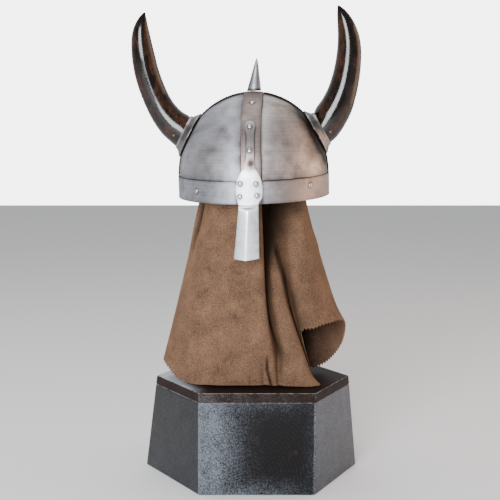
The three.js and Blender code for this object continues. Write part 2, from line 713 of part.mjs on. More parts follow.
// Materials
const steel = (color) => new THREE.MeshStandardMaterial({ color, roughness: 0.42, metalness: 1 });
const suede = new THREE.MeshStandardMaterial({ color: 0x7d6350, roughness: 0.95, metalness: 0 });
const blackWood = (color) => new THREE.MeshStandardMaterial({ color, roughness: 0.55, metalness: 0 });
const plainWood = (color) => new THREE.MeshStandardMaterial({ color, roughness: 0.8, metalness: 0 });
const hornStuff = () => new THREE.MeshStandardMaterial({ color: 0x2a1c15, roughness: 0.2, metalness: 0 });
const brass = () => new THREE.MeshStandardMaterial({ color: 0xa8845c, roughness: 0.4, metalness: 1 });

// Assembly
const object = new THREE.Group();
const stand = new THREE.Group();
object.add(stand, helmet);

function addPiece(group, name, geometry, material) {
  const mesh = new THREE.Mesh(geometry, material);
  mesh.name = name;
  group.add(mesh);
  return mesh;
}

const crestEnd = Math.PI - strapFoot;
const sideStrapLeft = strapGeometry(strapFoot, leftStrapTop, 14, true);
const sideStrapRight = strapGeometry(rightStrapTop, crestEnd, 14, true);
const shells = {
  bowl: { geometry: bowlGeometry(), color: 0x9b9da3 },
  brow_band: { geometry: bandGeometry(), color: 0xa6a8ad },
  crest_strap: { geometry: strapGeometry(strapFoot, crestEnd, 30, false), color: 0x8f8785 },
  side_strap_left: { geometry: sideStrapLeft, color: 0x4a423d },
  side_strap_right: { geometry: sideStrapRight, color: 0x4a423d },
  nasal: { geometry: nasalGeometry(), color: 0xc9cdd0 },
};

for (const [name, shell] of Object.entries(shells)) {
  let solid = asManifold(shell.geometry);
  for (const rivet of rivets.filter((one) => one.through.includes(name))) {
    const drill = drillAlong(rivet.at, shellNormal(rivet.at), rivetShank + gap, 8);
    solid = solid.subtract(asManifold(drill));
  }
  addPiece(helmet, name, asGeometry(solid), steel(shell.color));
}

for (const rivet of rivets) {
  const geometry = studGeometry(rivetHead, rivetDome, rivetShank, shankLength(rivet));
  const mesh = addPiece(helmet, rivet.name, geometry, steel(0xc4c6c8));
  mesh.quaternion.setFromUnitVectors(new THREE.Vector3(0, 0, 1), shellNormal(rivet.at));
  mesh.position.copy(seatOf(rivet));
}

const spike = addPiece(helmet, 'crown_spike', spikeGeometry(), steel(0xb4b8bc));
spike.position.set(crestDrift, 0, bandHeight + crownRise + cupSeat);

for (const [label, side, rows] of [['left', -1, leftHornRows], ['right', 1, rightHornRows]]) {
  const { seat, normal } = hornNails[label];
  addPiece(helmet, `horn_cup_${label}`, cupGeometry(side), steel(0xb0aeae));
  const horn = asManifold(hornGeometry(rows, side));
  const drill = drillAlong(seat, normal, nailShank + gap, nailLength + gap);
  addPiece(helmet, `horn_${label}`, asGeometry(horn.subtract(asManifold(drill))), hornStuff());
  const nailShape = studGeometry(nailHead, nailDome, nailShank, nailLength);
  const nail = addPiece(helmet, `horn_nail_${label}`, nailShape, brass());
  nail.quaternion.setFromUnitVectors(new THREE.Vector3(0, 0, 1), normal);
  nail.position.copy(seat);
}

const lidFoot = plinthHeight - lidThick;
addPiece(stand, 'plinth_body', plinthSolid(0, lidFoot - gap, plinthEdge), blackWood(0x3a3b3e));
addPiece(stand, 'plinth_lid', plinthSolid(lidFoot, plinthHeight, plinthEdge), blackWood(0x2e2c2c));

// The post stops short of the tilted form's underside by the gap at its highest edge.
const tiltRise = postRadius * Math.sin(radians(Math.hypot(helmetNod, helmetRoll)));
const postTop = new THREE.Vector3(0, 0, formFoot).applyMatrix4(helmet.matrixWorld);
const postLength = postTop.z - tiltRise - gap - (plinthHeight + gap);
const post = turned([[0, 0], [postRadius, 0], [postRadius, postLength], [0, postLength]], 16);
addPiece(stand, 'post', post, plainWood(0x8a6a4a)).position.set(postTop.x, postTop.y, plinthHeight + gap);

addPiece(helmet, 'head_form', formGeometry(), plainWood(0x9a7a56));
addPiece(stand, 'drape', drapeGeometry(), suede);

export default object;
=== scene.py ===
"""Horned norse-style helmet of riveted steel, at rest on a suede-draped display stand.

Run by Blender 4.5. Metres, +Z up, -Y towards the viewer; the tables below are in millimetres, as the real
pieces would be measured.
"""
import math

import bpy
import numpy as np
from mathutils import Matrix, Vector


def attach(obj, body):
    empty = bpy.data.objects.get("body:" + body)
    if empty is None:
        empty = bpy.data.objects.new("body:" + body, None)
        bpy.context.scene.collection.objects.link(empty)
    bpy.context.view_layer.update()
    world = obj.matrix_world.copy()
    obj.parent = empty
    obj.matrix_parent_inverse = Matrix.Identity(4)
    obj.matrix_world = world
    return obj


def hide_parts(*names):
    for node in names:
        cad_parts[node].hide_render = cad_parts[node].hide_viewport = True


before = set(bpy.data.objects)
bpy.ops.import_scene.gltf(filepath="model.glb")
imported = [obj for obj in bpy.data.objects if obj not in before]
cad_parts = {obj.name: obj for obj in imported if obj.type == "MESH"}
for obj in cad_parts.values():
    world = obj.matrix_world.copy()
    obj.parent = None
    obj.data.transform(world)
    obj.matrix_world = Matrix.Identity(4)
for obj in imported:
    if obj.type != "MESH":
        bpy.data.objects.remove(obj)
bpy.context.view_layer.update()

# Studio: a pale floor, a pale room, and soft lamps in front on the left, on the right and above. The camera
# stands a little left of the plinth's middle and above the helmet's rim, square to the plinth's front.

camera_lens = bpy.data.cameras.new("camera")
camera_lens.sensor_width = 36
camera_lens.lens = 79.7
camera_lens.shift_x = 0.1197
camera = bpy.data.objects.new("camera", camera_lens)
camera.location = (-0.09205, -1.59754, 0.49854)
camera.rotation_euler = (math.radians(83.93), 0, 0)
bpy.context.scene.collection.objects.link(camera)
bpy.context.scene.camera = camera


def linear(shade):
    """A colour written as an sRGB hex number, as linear red, green, blue and alpha."""
    parts = [((shade >> shift) & 255) / 255 for shift in (16, 8, 0)]
    return tuple(p / 12.92 if p <= 0.04045 else ((p + 0.055) / 1.055) ** 2.4 for p in parts) + (1.0,)


def add(tree, kind, sockets=None, **settings):
    """Adds a node, with its settings, and with each named or numbered socket set or linked."""
    new = tree.nodes.new(kind)
    for key, value in settings.items():
        setattr(new, key, value)
    for key, value in (sockets or {}).items():
        if isinstance(value, bpy.types.NodeSocket):
            tree.links.new(value, new.inputs[key])
        else:
            new.inputs[key].default_value = value
    return new


def soft_lamp(name, place, target, wide, high, watts, shade):
    lamp = bpy.data.lights.new(name, "AREA")
    lamp.shape = "RECTANGLE"
    lamp.size, lamp.size_y = wide, high
    lamp.energy = watts
    lamp.color = linear(shade)[:3]
    holder = bpy.data.objects.new(name, lamp)
    holder.location = place
    aim = Vector(target) - Vector(place)
    holder.rotation_euler = aim.to_track_quat("-Z", "Y").to_euler()
    bpy.context.scene.collection.objects.link(holder)


soft_lamp("lamp_front", (-0.8, -2.6, 0.95), (0, 0, 0.42), 1.3, 1.25, 122, 0xFBFCFF)
soft_lamp("lamp_right", (2.2, 0.25, 0.8), (0, 0, 0.4), 1.7, 1.6, 20, 0xFFCDA6)
soft_lamp("lamp_above", (-0.2, 0.1, 2.4), (0, 0, 0.4), 1.2, 1.0, 16, 0xFFFFFF)

# The room is seen as white paper, but lights the object more gently, most from behind.
room = bpy.data.worlds.new("room")
room.use_nodes = True
air = room.node_tree
heading = add(air, "ShaderNodeSeparateXYZ", {"Vector": add(air, "ShaderNodeTexCoord").outputs["Generated"]})
glow = add(air, "ShaderNodeMapRange", {
    "Value": heading.outputs["Y"], "From Min": -0.2, "From Max": 0.7, "To Min": 0.3, "To Max": 1.0})
seen = add(air, "ShaderNodeLightPath").outputs["Is Camera Ray"]
strength = add(air, "ShaderNodeMix", {0: seen, 2: glow.outputs["Result"], 3: 6.0}, data_type="FLOAT")
air.nodes["Background"].inputs["Color"].default_value = linear(0xF3F4F6)
air.links.new(strength.outputs[0], air.nodes["Background"].inputs["Strength"])
bpy.context.scene.world = room

floor_mesh = bpy.data.meshes.new("floor")
floor_mesh.from_pydata([(-6, -6, 0), (6, -6, 0), (6, 6, 0), (-6, 6, 0)], [], [(0, 1, 2, 3)])
floor = bpy.data.objects.new("floor", floor_mesh)
bpy.context.scene.collection.objects.link(floor)
floor_paper = bpy.data.materials.new("matt_backdrop_paper")
floor_paper.use_nodes = True
floor_shader = floor_paper.node_tree.nodes["Principled BSDF"]
floor_shader.inputs["Base Color"].default_value = linear(0xFAFAFA)
floor_shader.inputs["Roughness"].default_value = 0.9
floor_mesh.materials.append(floor_paper)

# Plinth: a six-sided wooden block with a lid, painted black and rubbed back, so that its edges and faces
# show worn wood, and painted paler where reflection of the lamps and room falls on it. The two side corners
# and the back lean outwards to the floor.

plinth_height = 143.4
plinth_front = 160.4
plinth_width = 281.8
plinth_depth = 226.8
plinth_flare = 17
plinth_back_flare = 28
plinth_corner = 4
plinth_edge = 1.5
lid_thick = 13.3
seam = 0.3
bend_points = 5
run_points = 21
side_points = bend_points + run_points


def solid(name, rings, first_pole=None, last_pole=None, sharp=35):
    """A closed skin over a chain of rings, given in millimetres. Poles close its ends; without them the last
    ring joins the first. Edges sharper than `sharp` degrees stay crisp."""
    rings = [np.asarray(ring, float) for ring in rings]
    count = len(rings[0])
    points = np.concatenate(rings)
    spans = len(rings) if first_pole is None else len(rings) - 1
    faces = []
    for k in range(spans):
        near, far = k * count, ((k + 1) % len(rings)) * count
        for i in range(count):
            after = (i + 1) % count
            faces.append((near + i, near + after, far + after, far + i))
    if first_pole is not None:
        last = (len(rings) - 1) * count
        foot, top = len(points), len(points) + 1
        points = np.vstack([points, first_pole, last_pole])
        for i in range(count):
            after = (i + 1) % count
            faces.append((foot, after, i))
            faces.append((top, last + i, last + after))
    return finished(name, points, faces, sharp)


def sheet_solid(name, outer, inner, sharp=35):
    """A closed plate between two grids of points, given in millimetres as rows of columns."""
    outer, inner = np.asarray(outer, float), np.asarray(inner, float)
    rows, columns = outer.shape[:2]
    points = np.concatenate([outer.reshape(-1, 3), inner.reshape(-1, 3)])
    back = rows * columns
    faces = []
    for i in range(rows - 1):
        for j in range(columns - 1):
            p = i * columns + j
            faces.append((p, p + 1, p + columns + 1, p + columns))
            faces.append((back + p + columns, back + p + columns + 1, back + p + 1, back + p))
        left, right = i * columns, i * columns + columns - 1
        faces.append((left + columns, back + left + columns, back + left, left))
        faces.append((right, back + right, back + right + columns, right + columns))
    for j in range(columns - 1):
        end = (rows - 1) * columns + j
        faces.append((j, back + j, back + j + 1, j + 1))
        faces.append((end + 1, back + end + 1, back + end, end))
    return finished(name, points, faces, sharp)


def finished(name, points, faces, sharp):
    """Makes the mesh in metres, with its faces turned outwards, and links its object."""
    corners = np.asarray(points, float)
    triangles = np.array([(f[0], f[k], f[k + 1]) for f in faces for k in range(1, len(f) - 1)])
    a, b, c = corners[triangles[:, 0]], corners[triangles[:, 1]], corners[triangles[:, 2]]
    if np.einsum("ij,ij->i", a, np.cross(b, c)).sum() < 0:
        faces = [tuple(reversed(f)) for f in faces]
    mesh = bpy.data.meshes.new(name)
    mesh.from_pydata((corners / 1000).tolist(), [], faces)
    mesh.shade_smooth()
    mesh.set_sharp_from_angle(angle=math.radians(sharp))
    piece = bpy.data.objects.new(name, mesh)
    bpy.context.scene.collection.objects.link(piece)
    return piece


def remember(piece, name, values):
    """Keeps one number for each point of the mesh, for its material to read."""
    layer = piece.data.attributes.new(name, "FLOAT", "POINT")
    layer.data.foreach_set("value", np.asarray(values, np.float32))


def plinth_outline(z, inset):
    """The six sides at height z, each a rounded corner and then a run whose points crowd to its ends."""
    drop = 1 - z / plinth_height
    half, side, depth = plinth_front / 2, plinth_width / 2, plinth_depth / 2
    stretch = 1 + (plinth_flare / (side - half)) * drop
    side_x = half + (side - half) * stretch
    side_y = depth * (stretch - 1)
    back_y = depth + plinth_back_flare * drop
    back_x = side_x - ((side - half) / depth) * (back_y - side_y)
    right = [(half, -depth), (side_x, side_y), (back_x, back_y)]
    corners = np.array(right + [(-x, y) for x, y in reversed(right)])
    bends = []
    for i, corner in enumerate(corners):
        before = corners[i - 1] - corner
        after = corners[(i + 1) % 6] - corner
        before, after = before / np.linalg.norm(before), after / np.linalg.norm(after)
        inward = (before + after) / np.linalg.norm(before + after)
        half_angle = math.acos(before @ after) / 2
        moved = corner + inward * inset / math.sin(half_angle)
        cut = plinth_corner / 2
        start, middle, end = moved + before * cut, moved + inward * cut * 0.22, moved + after * cut
        shares = np.linspace(0, 1, bend_points)[:, None]
        control = 2 * middle - (start + end) / 2
        bends.append((1 - shares) ** 2 * start + 2 * shares * (1 - shares) * control + shares**2 * end)
    points = []
    for i, bend in enumerate(bends):
        points.extend(bend)
        onward = bends[(i + 1) % 6][0]
        for share in 0.5 - 0.5 * np.cos(np.linspace(0, math.pi, run_points + 2))[1:-1]:
            points.append(bend[-1] + (onward - bend[-1]) * share)
    return np.array([(x, y, z) for x, y in points])


def plinth_block(name, low, high):
    """A lid or a body, with softened edges and rows that crowd towards them. Each point remembers how worn
    its edge is, and how pale it is, from paint rubbed back and from painted reflection."""
    turns = np.linspace(0, math.pi / 2, 4)
    soft = [(plinth_edge * (1 - math.sin(t)), plinth_edge * (1 - math.cos(t))) for t in turns]
    share = 0.5 - 0.5 * np.cos(np.linspace(0, math.pi, 14))[1:-1]
    rings, wear, rubbed_and_reflected = [], [], []
    half_run = 72  # about half the length of a side

    def flat_rings(z, outline):
        return [outline * [s, s, 0] + [0, 0, z] for s in (0.12, 0.3, 0.5, 0.68, 0.82, 0.92, 0.97)]

    foot = plinth_outline(low, plinth_edge)
    rings += flat_rings(low, foot)
    rings += [plinth_outline(low + up, inset) for inset, up in soft]
    rings += [plinth_outline(low + plinth_edge + (high - low - 2 * plinth_edge) * s, 0) for s in share]
    rings += [plinth_outline(high - up, inset) for inset, up in reversed(soft)]
    rings += reversed(flat_rings(high, plinth_outline(high, plinth_edge)))
    block = solid(name, rings, (0, 0, low), (0, 0, high), sharp=50)
    for ring in rings:
        z = ring[0, 2]
        rim = np.linalg.norm(plinth_outline(z, 0)[:, :2], axis=1)
        for i, point in enumerate(ring):
            side, place = divmod(i, side_points)
            level = min(z - low, high - z)
            flat = level < 1e-6
            if place < bend_points:
                from_corner = abs(place - bend_points // 2) * plinth_corner / (bend_points - 1)
            else:
                near = min(place - bend_points + 1, side_points - place) / run_points
                from_corner = half_run * (1 - math.cos(math.pi * near))
            inwards = rim[i] - np.linalg.norm(point[:2])
            along_edge = math.exp(-max(inwards if flat else level, 0) / 0.8)
            down_edge = 0.6 * math.exp(-from_corner / 0.5) * (inwards < 3)
            wear.append(max(along_edge, down_edge))
            rubbed_and_reflected.append(plinth_rubbed_and_reflected(side, point, flat))
    remember(block, "wear", wear + [0, 0])
    remember(block, "rubbed_and_reflected", rubbed_and_reflected + [0, 0])
    return block


def plinth_rubbed_and_reflected(side, point, flat):
    """How pale each place is, from paint rubbed back and from painted reflection of the lamps and room. Side
    5 is the front, 0 and 4 the sides to its right and left.
    """
    x, _, z = point
    # The front and the lid's front are painted paler towards the left: painted reflection
    leftwards = np.clip((0.1 - x / (plinth_front / 2)) / 0.85, 0, 1)
    # The tops are painted paler towards the left: painted reflection of the bright room behind
    if flat:
        return np.clip((-x - 66) / 36, 0, 1)
    if z > plinth_height - lid_thick:
        return 0.08 + 0.14 * leftwards if side == 5 else 0.06
    low_down = np.clip(1 - z / 34, 0, 1) * np.clip(0.9 - x / plinth_front, 0, 1)
    high_up = 0.6 * np.clip((z - 104) / 20, 0, 1) * np.clip(0.75 - x / plinth_front, 0, 1)
    if side == 5:
        return 0.82 * max(leftwards, 0.9 * low_down, high_up, 0.35 * np.clip(x / 20 - 3, 0, 1))
    # Each other face gets one paleness, most on the right side: painted reflection of the lamps
    return (0.57 + 0.2 * z / plinth_height, 0.4, 0.25, 0.15, 0.22 + 0.1 * low_down)[side]


def fresh_finish(name):
    """An unfinished material, with its tree, its shader and the place on the piece that patterns follow."""
    material = bpy.data.materials.new(name)
    material.use_nodes = True
    tree = material.node_tree
    place = add(tree, "ShaderNodeTexCoord").outputs["Object"]
    return material, tree, tree.nodes["Principled BSDF"], place


def painted_wood(name, coat, rubbed, gloss, speckling, shine):
    """Black satin paint on wood, rubbed back by hand: it gives the eye near-black with fine pale specks where
    the rubbing went through, faint circling scratches, brown stains, bright worn edges, and paler faces where
    reflection is painted in. The specks are drawn about 1.6 mm apart, coarser than real ones, so that they
    show."""
    stain_brown = 0x3A2318
    bare_edge = 0xA4A6AA
    material, tree, shader, place = fresh_finish(name)
    clouds = add(tree, "ShaderNodeTexNoise", {"Vector": place, "Scale": 42, "Detail": 6, "Roughness": 0.65})
    specks = add(tree, "ShaderNodeTexNoise", {"Vector": place, "Scale": 620, "Detail": 4, "Roughness": 0.75})
    rubbed_and_reflected_attribute = add(tree, "ShaderNodeAttribute", attribute_name="rubbed_and_reflected")
    cloudy = add(tree, "ShaderNodeMapRange", {
        "Value": clouds.outputs["Fac"], "From Min": 0.3, "From Max": 0.7, "To Min": -0.22, "To Max": 0.22})
    spread = add(tree, "ShaderNodeMath", {0: rubbed_and_reflected_attribute.outputs["Fac"], 1: cloudy.outputs["Result"]},
                 operation="ADD")
    fine = add(tree, "ShaderNodeMapRange", {
        "Value": specks.outputs["Fac"], "From Min": 0.42, "From Max": 0.6,
        "To Min": -0.5 * speckling, "To Max": 0.55 * speckling})
    broken = add(tree, "ShaderNodeMath", {0: spread.outputs["Value"], 1: fine.outputs["Result"]},
                 operation="ADD")
    amount = add(tree, "ShaderNodeMath", {0: broken.outputs["Value"], 1: rubbed_and_reflected_attribute.outputs["Fac"]},
                 operation="MULTIPLY", use_clamp=True)
    centred = add(tree, "ShaderNodeMapping", {"Vector": place, "Location": (0.02, 0, -0.02)})
    rings = add(tree, "ShaderNodeTexWave", {
        "Vector": centred.outputs["Vector"], "Scale": 60, "Distortion": 5, "Detail": 4, "Detail Scale": 60},
        wave_type="RINGS", rings_direction="Y")
    scratch = add(tree, "ShaderNodeMapRange", {
        "Value": rings.outputs["Fac"], "From Min": 0.86, "From Max": 1.0, "To Max": 0.28 * speckling})
    broken_scratch = add(tree, "ShaderNodeMath", {0: scratch.outputs["Result"], 1: fine.outputs["Result"]},
                         operation="MULTIPLY", use_clamp=True)
    rubbed_share = add(tree, "ShaderNodeMath", {
        0: amount.outputs["Value"], 1: broken_scratch.outputs["Value"]}, operation="ADD", use_clamp=True)
    greyed = add(tree, "ShaderNodeMix", {
        0: rubbed_share.outputs["Value"], 6: linear(coat), 7: linear(rubbed)}, data_type="RGBA")
    stains = add(tree, "ShaderNodeTexNoise", {"Vector": place, "Scale": 60, "Detail": 5, "Roughness": 0.7})
    stain = add(tree, "ShaderNodeMapRange", {
        "Value": stains.outputs["Fac"], "From Min": 0.62, "From Max": 0.74, "To Max": 0.7})
    browned = add(tree, "ShaderNodeMix", {
        0: stain.outputs["Result"], 6: greyed.outputs[2], 7: linear(stain_brown)}, data_type="RGBA")
    edges = add(tree, "ShaderNodeAttribute", attribute_name="wear")
    worn = add(tree, "ShaderNodeMath", {0: edges.outputs["Fac"], 1: add(tree, "ShaderNodeTexNoise", {
        "Vector": place, "Scale": 160, "Detail": 4}).outputs["Fac"]}, operation="MULTIPLY")
    bare = add(tree, "ShaderNodeMapRange", {
        "Value": worn.outputs["Value"], "From Min": 0.2, "From Max": 0.52, "To Max": 0.95})
    coloured = add(tree, "ShaderNodeMix", {
        0: bare.outputs["Result"], 6: browned.outputs[2], 7: linear(bare_edge)}, data_type="RGBA")
    tree.links.new(coloured.outputs[2], shader.inputs["Base Color"])
    dull = add(tree, "ShaderNodeMapRange", {
        "Value": rubbed_share.outputs["Value"], "To Min": gloss, "To Max": gloss + 0.2})
    tree.links.new(dull.outputs["Result"], shader.inputs["Roughness"])
    shader.inputs["IOR"].default_value = 1.5
    shader.inputs["Specular IOR Level"].default_value = shine
    dents = add(tree, "ShaderNodeBump", {
        "Height": specks.outputs["Fac"], "Strength": 0.3 * speckling + 0.05, "Distance": 0.0005})
    tree.links.new(dents.outputs["Normal"], shader.inputs["Normal"])
    return material


# The pale colours serve both for paint rubbed through and for painted reflection
body_paint = painted_wood("rubbed_black_paint_on_wood", 0x08080A, 0x6C727B, 0.3, 1.0, 0.2)
lid_paint = painted_wood("rubbed_dark_brown_paint_on_wood", 0x241A16, 0xC8CACF, 0.5, 0.4, 0.05)
lid_foot = plinth_height - lid_thick
for node_name, low, high, paint in (
    ("plinth_body", 0, lid_foot - seam, body_paint),
    ("plinth_lid", lid_foot, plinth_height, lid_paint),
):
    block = plinth_block(node_name + "_finished", low, high)
    block.data.materials.append(paint)
    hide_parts(node_name)
    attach(block, "root")

# Post and head form: a plain turned post and a shaped wooden block that carry the cloth and the helmet.
# They are hidden but for a glimpse from below, so they keep their own solids and get a sawn-wood finish.


def raw_wood(name, pale, dark):
    """Unfinished pine, sawn and sanded: it gives the eye pale straight grain with darker bands, 5 to 6 mm
    apart."""
    material, tree, shader, place = fresh_finish(name)
    run = add(tree, "ShaderNodeMapping", {"Vector": place, "Scale": (60, 60, 6)})
    grain = add(tree, "ShaderNodeTexNoise", {"Vector": run.outputs["Vector"], "Scale": 3, "Detail": 6})
    mixed = add(tree, "ShaderNodeMix", {
        0: grain.outputs["Fac"], 6: linear(pale), 7: linear(dark)}, data_type="RGBA")
    tree.links.new(mixed.outputs[2], shader.inputs["Base Color"])
    shader.inputs["Roughness"].default_value = 0.7
    lines = add(tree, "ShaderNodeBump", {"Height": grain.outputs["Fac"], "Strength": 0.3, "Distance": 0.0003})
    tree.links.new(lines.outputs["Normal"], shader.inputs["Normal"])
    return material


stand_wood = raw_wood("sanded_pine", 0xA98A63, 0x7A5B3A)
for node_name in ("post", "head_form"):
    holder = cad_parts[node_name]
    holder.data.materials.clear()
    holder.data.materials.append(stand_wood)

# Helmet bowl: one shell of raised steel, brushed sideways, that laps inside the brow band. The whole helmet
# sits a little turned, rolled and nodded on its form.

brow_width = 216
brow_length = 252.8
band_height = 30.5
band_thick = 1.5
crown_rise = 115.6
bowl_wall = 1.2
bowl_lap = 25
strap_width = 26.5
strap_thick = 1.2
crest_drift = 3.4
nasal_thick = 2
nose_length = 75
nose_width = 34
helmet_turn = -4.8
helmet_roll = -1.5
helmet_nod = 3
cup_elevation = 28
cup_bore = 24
cup_wall = 1.5
flange_reach = 8.8
rim_above_lid = 266.1
strap_out = seam + strap_thick
band_out = seam + band_thick
nasal_in = band_out + seam
nasal_out = nasal_in + nasal_thick
cup_seat = strap_out + seam
bowl_half_width = brow_width / 2 - band_out
bowl_half_length = brow_length / 2 - band_out
tall = crown_rise + band_height

helmet_place = (
    Matrix.Translation((0, 0, plinth_height + rim_above_lid))
    @ Matrix.Rotation(math.radians(helmet_turn), 4, "Z")
    @ Matrix.Rotation(math.radians(helmet_roll), 4, "Y")
    @ Matrix.Rotation(math.radians(helmet_nod), 4, "X")
)
helmet_turning = np.array(helmet_place)


def on_stand(points):
    """Points of the helmet's own frame, in millimetres, moved to where it sits on the stand."""
    points = np.asarray(points, float)
    return points @ helmet_turning[:3, :3].T + helmet_turning[:3, 3]


def on_shell(x, z, out):
    """The shell's front at a side place and a height, `out` outside the bowl."""
    up = np.maximum(z - band_height, 0) / (crown_rise + out)
    depth = np.sqrt(np.maximum(1 - (x / (bowl_half_width + out)) ** 2 - up**2, 0))
    return np.stack(np.broadcast_arrays(x, -(bowl_half_length + out) * depth, z), axis=-1)


def on_arch(rise, offset, out, along_x):
    """A place on the dome along an arch: rise runs from 0 at one foot to pi at the other."""
    run, span = bowl_half_length, bowl_half_width
    if along_x:
        run, span = span, run
    shrink = np.sqrt(1 - (offset / (span + out)) ** 2)
    along = -(run + out) * np.cos(rise) * shrink
    height = band_height + (crown_rise + out) * np.sin(rise) * shrink
    along, offset, height = np.broadcast_arrays(along, offset, height)
    return np.stack([along, offset, height] if along_x else [offset, along, height], axis=-1)


def shell_facing(points):
    """Outward direction of the shell at each point."""
    up = np.maximum(points[..., 2] - band_height, 0) / crown_rise**2
    facing = np.stack([
        points[..., 0] / bowl_half_width**2, points[..., 1] / bowl_half_length**2, up], axis=-1)
    return facing / np.linalg.norm(facing, axis=-1, keepdims=True)


def brow_place(turn, up):
    angle = math.radians(turn)
    return np.array([
        (bowl_half_width + band_out) * math.sin(angle),
        -(bowl_half_length + band_out) * math.cos(angle),
        up * band_height,
    ])


def crest_middle(rise):
    """How far right of the middle the crest strap stands, most where it crosses the crown."""
    return crest_drift * np.sin(rise) ** 4


# Where each rivet sits, and how deep its shank goes: through the plates down to the bowl's inside
nasal_depth = nasal_out + bowl_wall + seam
strap_depth = strap_out + bowl_wall + seam
band_depth = band_out + bowl_wall + seam
rivet_places = [
    *[(on_shell(side * nose_width, up * tall, nasal_out), nasal_depth) for side, up in (
        (-0.025, 0.702), (-0.035, 0.49), (-0.425, 0.19), (0.2, 0.187), (-0.45, 0.074), (0.232, 0.08))],
    *[(on_arch(math.radians(turn), crest_middle(math.radians(turn)), strap_out, False), strap_depth)
      for turn in (61, 119, 145, 172)],
    *[(brow_place(turn, up), band_depth) for turn, up in (
        (-44.7, 0.52), (47.1, 0.66), (-135, 0.55), (135, 0.55), (180, 0.55))],
]
rivet_seats = np.array([place for place, _ in rivet_places])


def near_rivets(points):
    """How close each point is to a rivet, from 0 far off to 1 beside its head, for the dirt round it."""
    away = np.min(np.linalg.norm(points[:, None, :] - rivet_seats[None], axis=2), axis=1)
    return np.exp(-(np.maximum(away - 3.4, 0) / 1.6) ** 2)


def cup_axis(side):
    lean = math.radians(cup_elevation)
    return np.array([side * math.cos(lean), 0, math.sin(lean)])


def cup_seat_point(side):
    out = cup_axis(side)
    rise = math.atan2(out[2] * crown_rise, abs(out[0]) * bowl_half_width)
    return on_arch(rise if side < 0 else math.pi - rise, 0.0, cup_seat, True)


def bowl_ring(height, rise, out, sides):
    angle = np.linspace(0, 2 * math.pi, sides, endpoint=False)
    x = (bowl_half_width + out) * math.cos(rise) * np.cos(angle)
    y = (bowl_half_length + out) * math.cos(rise) * np.sin(angle)
    return np.stack([x, y, np.full(sides, height + (crown_rise + out) * math.sin(rise))], axis=1)


bowl_sides = 480
outer_rises = np.radians(np.concatenate([np.linspace(88.5, 12, 76), np.linspace(11.2, 0, 14)]))
inner_rises = np.radians(np.linspace(86, 0, 24))
bowl_rings = [bowl_ring(band_height, r, -bowl_wall, bowl_sides) for r in inner_rises]
foot = band_height - bowl_lap
bowl_rings += [bowl_ring(foot, 0, -bowl_wall, bowl_sides), bowl_ring(foot, 0, 0, bowl_sides)]
bowl_rings += [bowl_ring(band_height, r, 0, bowl_sides) for r in outer_rises[::-1]]
bowl_poles = np.array([(0, 0, band_height + crown_rise - bowl_wall), (0, 0, band_height + crown_rise)])
bowl = solid("bowl_raised_shell", [on_stand(r) for r in bowl_rings], *on_stand(bowl_poles), sharp=50)


def fade(distance, width):
    """How dark the dirt and the painted shade are at a distance from the joint or edge they lie along."""
    return np.exp(-(np.maximum(distance, 0) / width) ** 1.3)


# The bowl's dark mask: darker along the band's top, dirt and painted shade beside the crest strap, painted
# shade along the side straps and round the cups, and clouds of tarnish on the front
bowl_points = np.concatenate(bowl_rings + [bowl_poles])
from_band = bowl_points[:, 2] - band_height
above_band = np.maximum(fade(from_band, 1.8), 0.45 * fade(from_band, 9))
bowl_rise = np.arctan2(np.maximum(from_band, 0) / crown_rise, -bowl_points[:, 1] / bowl_half_length)
right_of_crest = bowl_points[:, 0] - crest_middle(bowl_rise)
from_crest = np.abs(right_of_crest) - strap_width / 2
# Beside the crest strap: dirt in the joint, and on its left a broader band of painted shade
dirt_and_shade_beside_crest = np.where(
    right_of_crest > 0, 1.3 * fade(from_crest, 1.9),
    np.maximum(1.1 * fade(from_crest, 2.2), 0.7 * fade(from_crest - 1, 9.0)))
# Painted shade on the dome along the side straps' edges
painted_shade_beside_side_strap = 1.3 * fade(np.abs(bowl_points[:, 1]) - strap_width / 2 - 4, 9)
# Painted shadow on the dome beside the cups, far darker beside the right cup than beside the left one
painted_shadow_beside_cups = np.zeros(len(bowl_points))
for side in (-1, 1):
    from_seat = bowl_points - cup_seat_point(side)
    outwards = from_seat @ cup_axis(side)
    off_axis = np.linalg.norm(from_seat - outwards[:, None] * cup_axis(side), axis=1)
    reached = off_axis - cup_bore - cup_wall - flange_reach
    dark, wide = (1.8, 27) if side > 0 else (1.1, 7)
    painted_shadow_beside_cups = np.maximum(painted_shadow_beside_cups, np.where(outwards > -60, dark * fade(reached, wide), 0))
smudges = np.zeros(len(bowl_points))
for x, z, wide, high, dark in (
    # clouds of tarnish on the front: where, how wide and high, and how dark
    (23, 68, 8, 4, 0.42), (31, 84, 8, 9, 0.3), (50, 78, 14, 6, 0.3), (-52, 72, 12, 6, 0.3),
    (-40, 98, 9, 6, 0.4), (-24, 112, 8, 7, 0.4), (-60, 48, 8, 5, 0.25), (62, 45, 8, 5, 0.3),
):
    smudges = np.maximum(smudges, (bowl_points[:, 1] < 0) * dark * np.exp(
        -((bowl_points[:, 0] - x) / wide) ** 2 - ((bowl_points[:, 2] - z) / high) ** 2))
remember(bowl, "dirt_and_painted_shade", np.maximum.reduce([
    above_band, dirt_and_shade_beside_crest, painted_shade_beside_side_strap, painted_shadow_beside_cups, smudges]))


